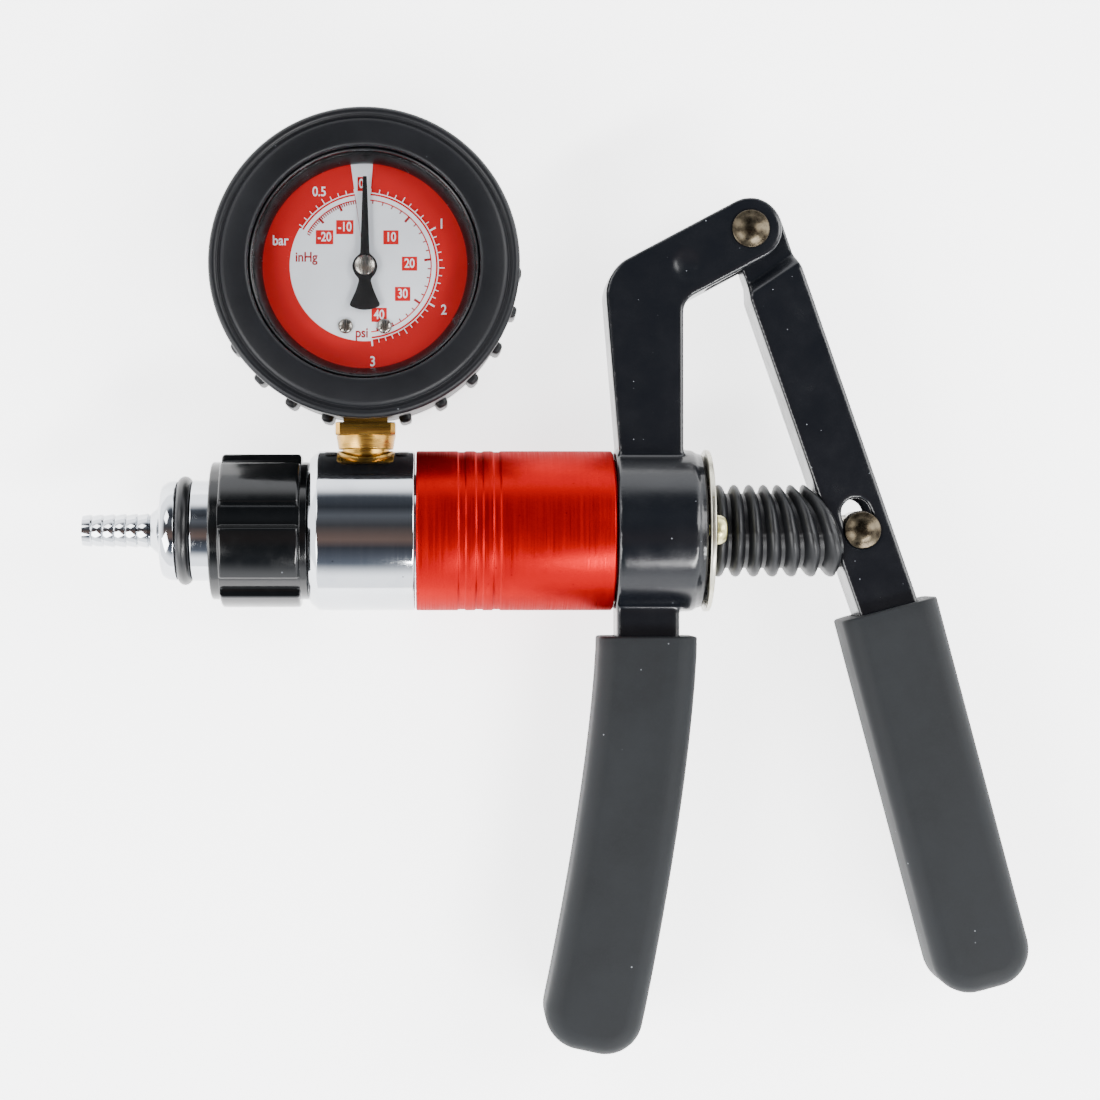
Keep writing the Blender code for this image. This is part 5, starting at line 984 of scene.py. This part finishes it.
def make_lever():
    """The lever: a pressed channel, open at its outer side, with the pin's slot through both cheeks."""
    left, right = PIN_ACROSS - LEVER_WIDTH / 2, PIN_ACROSS + LEVER_WIDTH / 2
    bend, along = lever_line(0.0)
    side = Vector((-along.y, along.x)) * LEVER_WIDTH / 2
    sheet, half, wide = 2.0, TANG_DEPTH / 2, 3.7
    skin, foot, front, back = 1.0 - 2 * sheet / LEVER_WIDTH, 7.0, 16.3, 12.5

    def place(across, down, *radius):
        return (*(PIVOT + LEVER_ACROSS * across + LEVER_DOWN * down), *radius)

    def tang(down, share, *radius):
        return (*(bend + along * down + side * share), *radius)

    squeezed = LEVER_ANGLE - math.radians(12.0)
    top = PIVOT_UP / math.cos(squeezed) + PIN_ACROSS * math.tan(squeezed) - 4.1
    low = PIN_DOWN + 4.1
    ends = ((-wide, top), (-wide, low), (wide, low), (wide, top))
    slot = [place(PIN_ACROSS + across, down, wide * ROUND) for across, down in ends]
    cheek = [
        place(left, front, 0.6), tang(0.0, -1.0), tang(foot, -1.0), tang(foot, 1.0), tang(0.0, 1.0),
        place(right, back, 0.6),
    ]
    bm = bmesh.new()
    for low in (-half, half - sheet):
        extruded(bm, cheek, low, low + sheet, holes=[slot])
    roof, web = top - 1.0, PIN_DOWN + 4.0
    across = left + sheet
    extruded(bm, [place(left, front), place(left, roof), place(across, roof), place(across, front)], -half, half)
    outline = [
        place(left, web), tang(0.0, -1.0), tang(foot, -1.0), tang(foot, -skin), tang(0.0, -skin), place(across, web)
    ]
    extruded(bm, outline, -half, half)
    neck, inset, steps, crown = 5.0, 0.8, 5, -6.8
    outline = [
        place(left + inset, crown, 6.7), place(left + inset, 22.3), place(right - inset, 18.5),
        place(right - inset, crown, 6.7),
    ]
    extruded(bm, outline, -neck, neck)
    for step in range(steps):
        rise, rest = (half - neck) * (step + 1) / steps, 1.0 - step / steps
        slant, shoulder = (half - neck) * rest * 1.3, inset * rest
        outline = [
            place(left + shoulder, front - slant), place(left + shoulder, 19.0), place(right - shoulder, 15.2),
            place(right - shoulder, back - slant),
        ]
        extruded(bm, outline, -neck - rise, neck + rise)
    lever = finished("pressed_lever", bm, "paint", ["lever"], "lever")
    softened(lever, 0.45, 4)
    bm = bmesh.new()
    bm.from_mesh(lever.data)
    first, last, corner = 5.0, 84.0, 4.0
    outline = [tang(first, -1.0), tang(last, -1.0, corner), tang(last, 1.0, corner), tang(first, 1.0)]
    for low in (-half, half - sheet):
        extruded(bm, outline, low, low + sheet)
    outline = [tang(first, -1.0), tang(last - corner, -1.0), tang(last - corner, -skin), tang(first, -skin)]
    extruded(bm, outline, -half, half)
    bm.to_mesh(lever.data)
    bm.free()


def softened(piece, voxel, passes):
    """Fuses the piece's overlapping forms into one skin and softens its edges, as pressing and paint do."""
    with_modifier(piece, "REMESH", mode="VOXEL", voxel_size=voxel * MM, use_smooth_shade=True)
    bm = bmesh.new()
    bm.from_mesh(piece.data)
    for _ in range(passes):
        bmesh.ops.smooth_vert(bm, verts=bm.verts, factor=0.5, use_axis_x=True, use_axis_y=True, use_axis_z=True)
    for face in bm.faces:
        face.smooth = True
    bm.to_mesh(piece.data)
    bm.free()
    piece.data.materials.clear()
    piece.data.materials.append(finish("paint"))


def make_grip(name, line, width, reach, body, node, sizes):
    """A moulded rubber sleeve with soft long edges, a round end and a mouth cut flat round the metal."""
    half, gap = sizes.depth / 2, 0.3
    bm = extruded(
        bmesh.new(), strip(line, sizes.width, -0.1, 1.0, 9.5, 16), -half, half, sizes.edge, segments=8
    )
    mouth, along = line(0.0)
    bmesh.ops.bisect_plane(
        bm, geom=bm.verts[:] + bm.edges[:] + bm.faces[:], plane_co=here(*mouth), plane_no=Vector((*along, 0.0)),
        clear_inner=True,
    )
    rim = [edge for edge in bm.edges if edge.is_boundary]
    mouth_face = bmesh.ops.contextual_create(bm, geom=rim)["faces"]
    bmesh.ops.recalc_face_normals(bm, faces=bm.faces)
    bevel(bm, [e for f in mouth_face for e in f.edges], 0.6, 3)
    piece = finished(name, bm, "grip", [node], body, math.radians(40.0))
    half = TANG_DEPTH / 2 + gap
    cut_away(piece, extruded(bmesh.new(), strip(line, width + 2 * gap, -0.2, reach, 4.0), -half, half))


def squashed(piece):
    """Gives the piece its own copy of its mesh."""
    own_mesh(piece)


def make_bellows(sizes):
    """The rubber bellows: a ribbed sleeve with its mould seam, its far end leaning along the lever."""
    left = span("bellows")[0].x
    right = PIN_ALONG - LEVER_WIDTH / 2 / math.cos(LEVER_ANGLE) - 0.3
    pitch, inside, lead = (right - left) / sizes.ribs, sizes.valley - 1.1, 2.0
    profile = (
        (0.1, 0.0), (0.18, 0.35), (0.3, 0.8), (0.42, 0.97), (0.5, 1.0), (0.58, 0.97), (0.7, 0.8), (0.82, 0.35),
        (0.9, 0.0),
    )
    outline = [(left, inside), (left, sizes.valley)]
    for rib in range(sizes.ribs):
        for share, stand in profile:
            outline.append((left + (rib + share) * pitch, sizes.valley + (sizes.crest - sizes.valley) * stand))
    outline += [(right, sizes.valley), (right, inside)]
    bm = spun(bmesh.new(), outline, steps=128, closed=True)
    for vert in bm.verts:
        at = (vert.co - ORIGIN) / MM
        share = min(max((at.x - left - lead) / (right - left - lead), 0.0), 1.0)
        proud = min(max((abs(at.z) - 4.0) / 6.0, 0.0), 1.0)
        seam = max(0.0, 1.0 - abs(at.y + 0.8) / 0.5)
        vert.co.x += (proud * share**3 * 2.6 - at.y * math.tan(LEVER_ANGLE) * share**1.6) * MM
        vert.co.z += math.copysign(0.2 * seam, at.z) * MM
    squashed(finished("rubber_bellows", bm, "bellows", ["bellows"]))


def make_spring():
    """The return spring, wound from the head's plug to the piston."""
    low, high = span("return_spring")
    wire, turns, steps, sides = 0.75, 7, 40, 12
    mean, rise = (high.z - low.z) / 2 - wire, (high.x - low.x - 2 * wire) / (turns * steps)
    bm = bmesh.new()
    last = None
    for step in range(turns * steps + 1):
        angle = math.tau * step / steps
        outward = UP * math.cos(angle) + OUT * math.sin(angle)
        centre = here(low.x + wire + rise * step) + outward * mean * MM
        ring = []
        for side in range(sides):
            turn = math.tau * side / sides
            ring.append(bm.verts.new(centre + (outward * math.cos(turn) + ALONG * math.sin(turn)) * wire * MM))
        if last:
            for side in range(sides):
                bm.faces.new((last[side], last[side - 1], ring[side - 1], ring[side]))
        else:
            bm.faces.new(ring)
        last = ring
    bm.faces.new(last[::-1])
    clean(bm)
    squashed(finished("return_spring_wire", bm, "steel", ["return_spring"]))


HIDDEN = {
    "head_seal": "seal", "valve_seat": "brass", "valve_flap": "seal", "rod_bush": "brass",
    "movement_frame": "brass", "bourdon_tube": "brass", "pointer_spindle": "brass", "sector_gear": "brass",
    "piston_rod": "steel", "piston": "nickel", "piston_seal": "seal", "piston_washer": "steel",
    "piston_nut": "zinc",
}


def finish_inner_parts():
    """Gives the parts that the CAD model already shapes well their own finishes."""
    for node, key in HIDDEN.items():
        mesh = frame["nodes"][node].data
        mesh.materials.clear()
        mesh.materials.append(finish(key))


def make_stage(sizes):
    """The pale floor that the pump lies on, soft light from both sides, and the camera over it."""
    colours = bpy.context.scene.pump_colours
    bm = bmesh.new()
    bmesh.ops.create_grid(bm, x_segments=2, y_segments=2, size=3.0)
    floor = placed("floor", mesh_from(bm, "floor"))
    material, tree, place = start("white_paper")
    tooth = add(tree, "TexNoise", Vector=place, Scale=1 / (1.5 * MM), Detail=2.0)
    surface(
        tree, Base_Color=list(colours.floor), Roughness=0.9,
        Normal=add(tree, "Bump", Height=tooth, Strength=0.05, Distance=0.05 * MM),
        Emission_Color=list(colours.floor), Emission_Strength=2.8,
    )
    floor.data.materials.append(material)
    for name, place, size, power in (
        ("lower_left_softbox", (-0.85, -0.5, 0.8), (0.7, 0.7), 21.0),
        ("right_softbox", (0.95, 0.3, 0.85), (0.6, 0.8), 18.0),
        ("upper_left_softbox", (-0.8, 0.6, 0.9), (0.5, 0.5), 6.0),
        ("lower_strip", (0.42, -0.66, 0.72), (0.66, 0.12), 16.0),
    ):
        light = bpy.data.lights.new(name, "AREA")
        light.shape, light.size, light.size_y = "RECTANGLE", *size
        light.energy = power * sizes.light
        lamp = placed(name, light)
        lamp.location = ORIGIN + Vector(place)
        lamp.rotation_euler = (ORIGIN - lamp.location).to_track_quat("-Z", "Y").to_euler()
    world = bpy.data.worlds.new("studio")
    bpy.context.scene.world = world
    world.use_nodes = True
    tree = world.node_tree
    tree.nodes.clear()
    way = add(tree, "SeparateXYZ", Vector=add(tree, "TexCoord").outputs["Generated"])
    wall = add(
        tree, "MapRange", {"interpolation_type": "SMOOTHSTEP"}, Value=way.outputs["Z"], From_Min=0.3,
        From_Max=0.68,
    )
    across = add(tree, "MapRange", Value=way.outputs["Y"], From_Min=-1.0, From_Max=1.0)
    overhead = add(tree, "ValToRGB", Fac=across)
    ramp = overhead.color_ramp
    for place, shade in CEILING:
        ramp.elements.new(place).color = linear(shade)
    ramp.elements.remove(ramp.elements[0])
    room = add(tree, "Mix", COLOURS, Factor_Float=wall, A_Color=linear(0xF2F4F8), B_Color=overhead)
    light = add(tree, "Background", Color=room, Strength=4.0 * sizes.light)
    add(tree, "OutputWorld", Surface=light)
    camera = bpy.data.cameras.new("camera")
    camera.lens, camera.sensor_width = sizes.lens, 36.0
    camera.clip_start, camera.clip_end = 0.05, 10.0
    camera.shift_x = CAMERA_SHIFT
    eye = placed("camera", camera)
    eye.location = here(*CAMERA_PLACE)
    target = here(*CAMERA_TARGET)
    look = (target - eye.location).normalized()
    back, right = -look, ALONG
    right = (right - back * right.dot(back)).normalized()
    upward = back.cross(right)
    turn = Matrix((right, upward, back)).transposed()
    eye.rotation_euler = turn.to_euler()
    bpy.context.scene.camera = eye


class PumpOperator(Operator):
    """Builds a part of the pump, in a step that can be undone."""

    bl_options = {"REGISTER", "UNDO"}


class PUMP_OT_barrel(PumpOperator):
    """Makes the red barrel and the chrome head."""

    bl_idname, bl_label = "pump.barrel", "Barrel and Head"

    def execute(self, context):
        make_barrel(in_mm(context.scene.pump_barrel))
        make_head(in_mm(context.scene.pump_barrel))
        return {"FINISHED"}


class PUMP_OT_collar(PumpOperator):
    """Makes the lobed coupling collar."""

    bl_idname, bl_label = "pump.collar", "Coupling Collar"

    def execute(self, context):
        make_collar(in_mm(context.scene.pump_collar))
        return {"FINISHED"}


class PUMP_OT_nozzle(PumpOperator):
    """Makes the barbed hose nozzle and its O-ring."""

    bl_idname, bl_label = "pump.nozzle", "Hose Nozzle"

    def execute(self, context):
        make_nozzle(in_mm(context.scene.pump_nozzle))
        return {"FINISHED"}


class PUMP_OT_casting(PumpOperator):
    """Makes the painted casting with its arm and stem."""

    bl_idname, bl_label = "pump.casting", "Frame Casting"

    def execute(self, context):
        make_casting()
        return {"FINISHED"}


class PUMP_OT_end_cap(PumpOperator):
    """Makes the nickel end cap and its screws."""

    bl_idname, bl_label = "pump.end_cap", "End Cap"

    def execute(self, context):
        make_end_cap()
        return {"FINISHED"}


class PUMP_OT_rivets(PumpOperator):
    """Makes the pivot's rivet and the rod's pin."""

    bl_idname, bl_label = "pump.rivets", "Rivet and Pin"

    def execute(self, context):
        make_rivets()
        return {"FINISHED"}


class PUMP_OT_stem(PumpOperator):
    """Makes the gauge's brass stem."""

    bl_idname, bl_label = "pump.stem", "Brass Stem"

    def execute(self, context):
        make_stem()
        return {"FINISHED"}


class PUMP_OT_boot(PumpOperator):
    """Makes the gauge's ribbed rubber boot."""

    bl_idname, bl_label = "pump.boot", "Gauge Boot"

    def execute(self, context):
        make_boot(in_mm(context.scene.pump_gauge))
        return {"FINISHED"}


class PUMP_OT_case(PumpOperator):
    """Makes the gauge's cup, black wall and glass."""

    bl_idname, bl_label = "pump.case", "Gauge Case and Glass"

    def execute(self, context):
        make_case(in_mm(context.scene.pump_gauge))
        return {"FINISHED"}


class PUMP_OT_dial(PumpOperator):
    """Makes the printed dial and its screws."""

    bl_idname, bl_label = "pump.dial", "Dial"

    def execute(self, context):
        make_dial(in_mm(context.scene.pump_gauge))
        return {"FINISHED"}


class PUMP_OT_pointer(PumpOperator):
    """Makes the pointer and its cap."""

    bl_idname, bl_label = "pump.pointer", "Pointer"

    def execute(self, context):
        make_pointer(in_mm(context.scene.pump_gauge))
        return {"FINISHED"}


class PUMP_OT_lever(PumpOperator):
    """Makes the pressed lever."""

    bl_idname, bl_label = "pump.lever", "Lever"

    def execute(self, context):
        make_lever()
        return {"FINISHED"}


class PUMP_OT_grips(PumpOperator):
    """Makes the two rubber grips."""

    bl_idname, bl_label = "pump.grips", "Rubber Grips"

    def execute(self, context):
        sizes = in_mm(context.scene.pump_grips)
        make_grip("bent_rubber_grip", fixed_line, STEM_WIDTH, 0.885, "pump_body", "fixed_grip", sizes)
        make_grip("straight_rubber_grip", lever_line, LEVER_WIDTH, 0.86, "lever", "lever_grip", sizes)
        return {"FINISHED"}


class PUMP_OT_bellows(PumpOperator):
    """Makes the rubber bellows over the rod."""

    bl_idname, bl_label = "pump.bellows", "Bellows"

    def execute(self, context):
        make_bellows(in_mm(context.scene.pump_bellows))
        return {"FINISHED"}


class PUMP_OT_spring(PumpOperator):
    """Makes the return spring inside the barrel."""

    bl_idname, bl_label = "pump.spring", "Return Spring"

    def execute(self, context):
        make_spring()
        return {"FINISHED"}


class PUMP_OT_inner_parts(PumpOperator):
    """Finishes the parts inside the barrel and the gauge."""

    bl_idname, bl_label = "pump.inner_parts", "Inner Parts"

    def execute(self, context):
        finish_inner_parts()
        return {"FINISHED"}


class PUMP_OT_stage(PumpOperator):
    """Makes the floor, the light and the camera."""

    bl_idname, bl_label = "pump.stage", "Stage"

    def execute(self, context):
        make_stage(context.scene.pump_stage)
        return {"FINISHED"}


OPERATORS = (
    PUMP_OT_barrel, PUMP_OT_collar, PUMP_OT_nozzle, PUMP_OT_casting, PUMP_OT_end_cap, PUMP_OT_rivets,
    PUMP_OT_stem, PUMP_OT_boot, PUMP_OT_case, PUMP_OT_dial, PUMP_OT_pointer, PUMP_OT_lever, PUMP_OT_grips,
    PUMP_OT_bellows, PUMP_OT_spring, PUMP_OT_inner_parts, PUMP_OT_stage,
)


class PUMP_PT_sidebar(Panel):
    """The pump's sizes, colours and pieces."""

    bl_idname, bl_label = "PUMP_PT_sidebar", "Hand Vacuum Pump"
    bl_space_type, bl_region_type, bl_category = "VIEW_3D", "UI", "Vacuum Pump"

    def draw(self, context):
        for attribute, group in SETTINGS.items():
            box = self.layout.box()
            box.label(text=attribute.removeprefix("pump_").title())
            for prop in group.__annotations__:
                box.prop(getattr(context.scene, attribute), prop)
        for operator in OPERATORS:
            self.layout.operator(operator.bl_idname)


def register():
    for kind in (*SETTINGS.values(), *OPERATORS, PUMP_PT_sidebar):
        bpy.utils.register_class(kind)
    for attribute, group in SETTINGS.items():
        setattr(bpy.types.Scene, attribute, PointerProperty(type=group))


def unregister():
    for attribute in SETTINGS:
        delattr(bpy.types.Scene, attribute)
    for kind in reversed((*SETTINGS.values(), *OPERATORS, PUMP_PT_sidebar)):
        bpy.utils.unregister_class(kind)


def main():
    register()
    for operator in OPERATORS:
        family, name = operator.bl_idname.split(".")
        getattr(getattr(bpy.ops, family), name)()


if __name__ == "__main__":
    main()
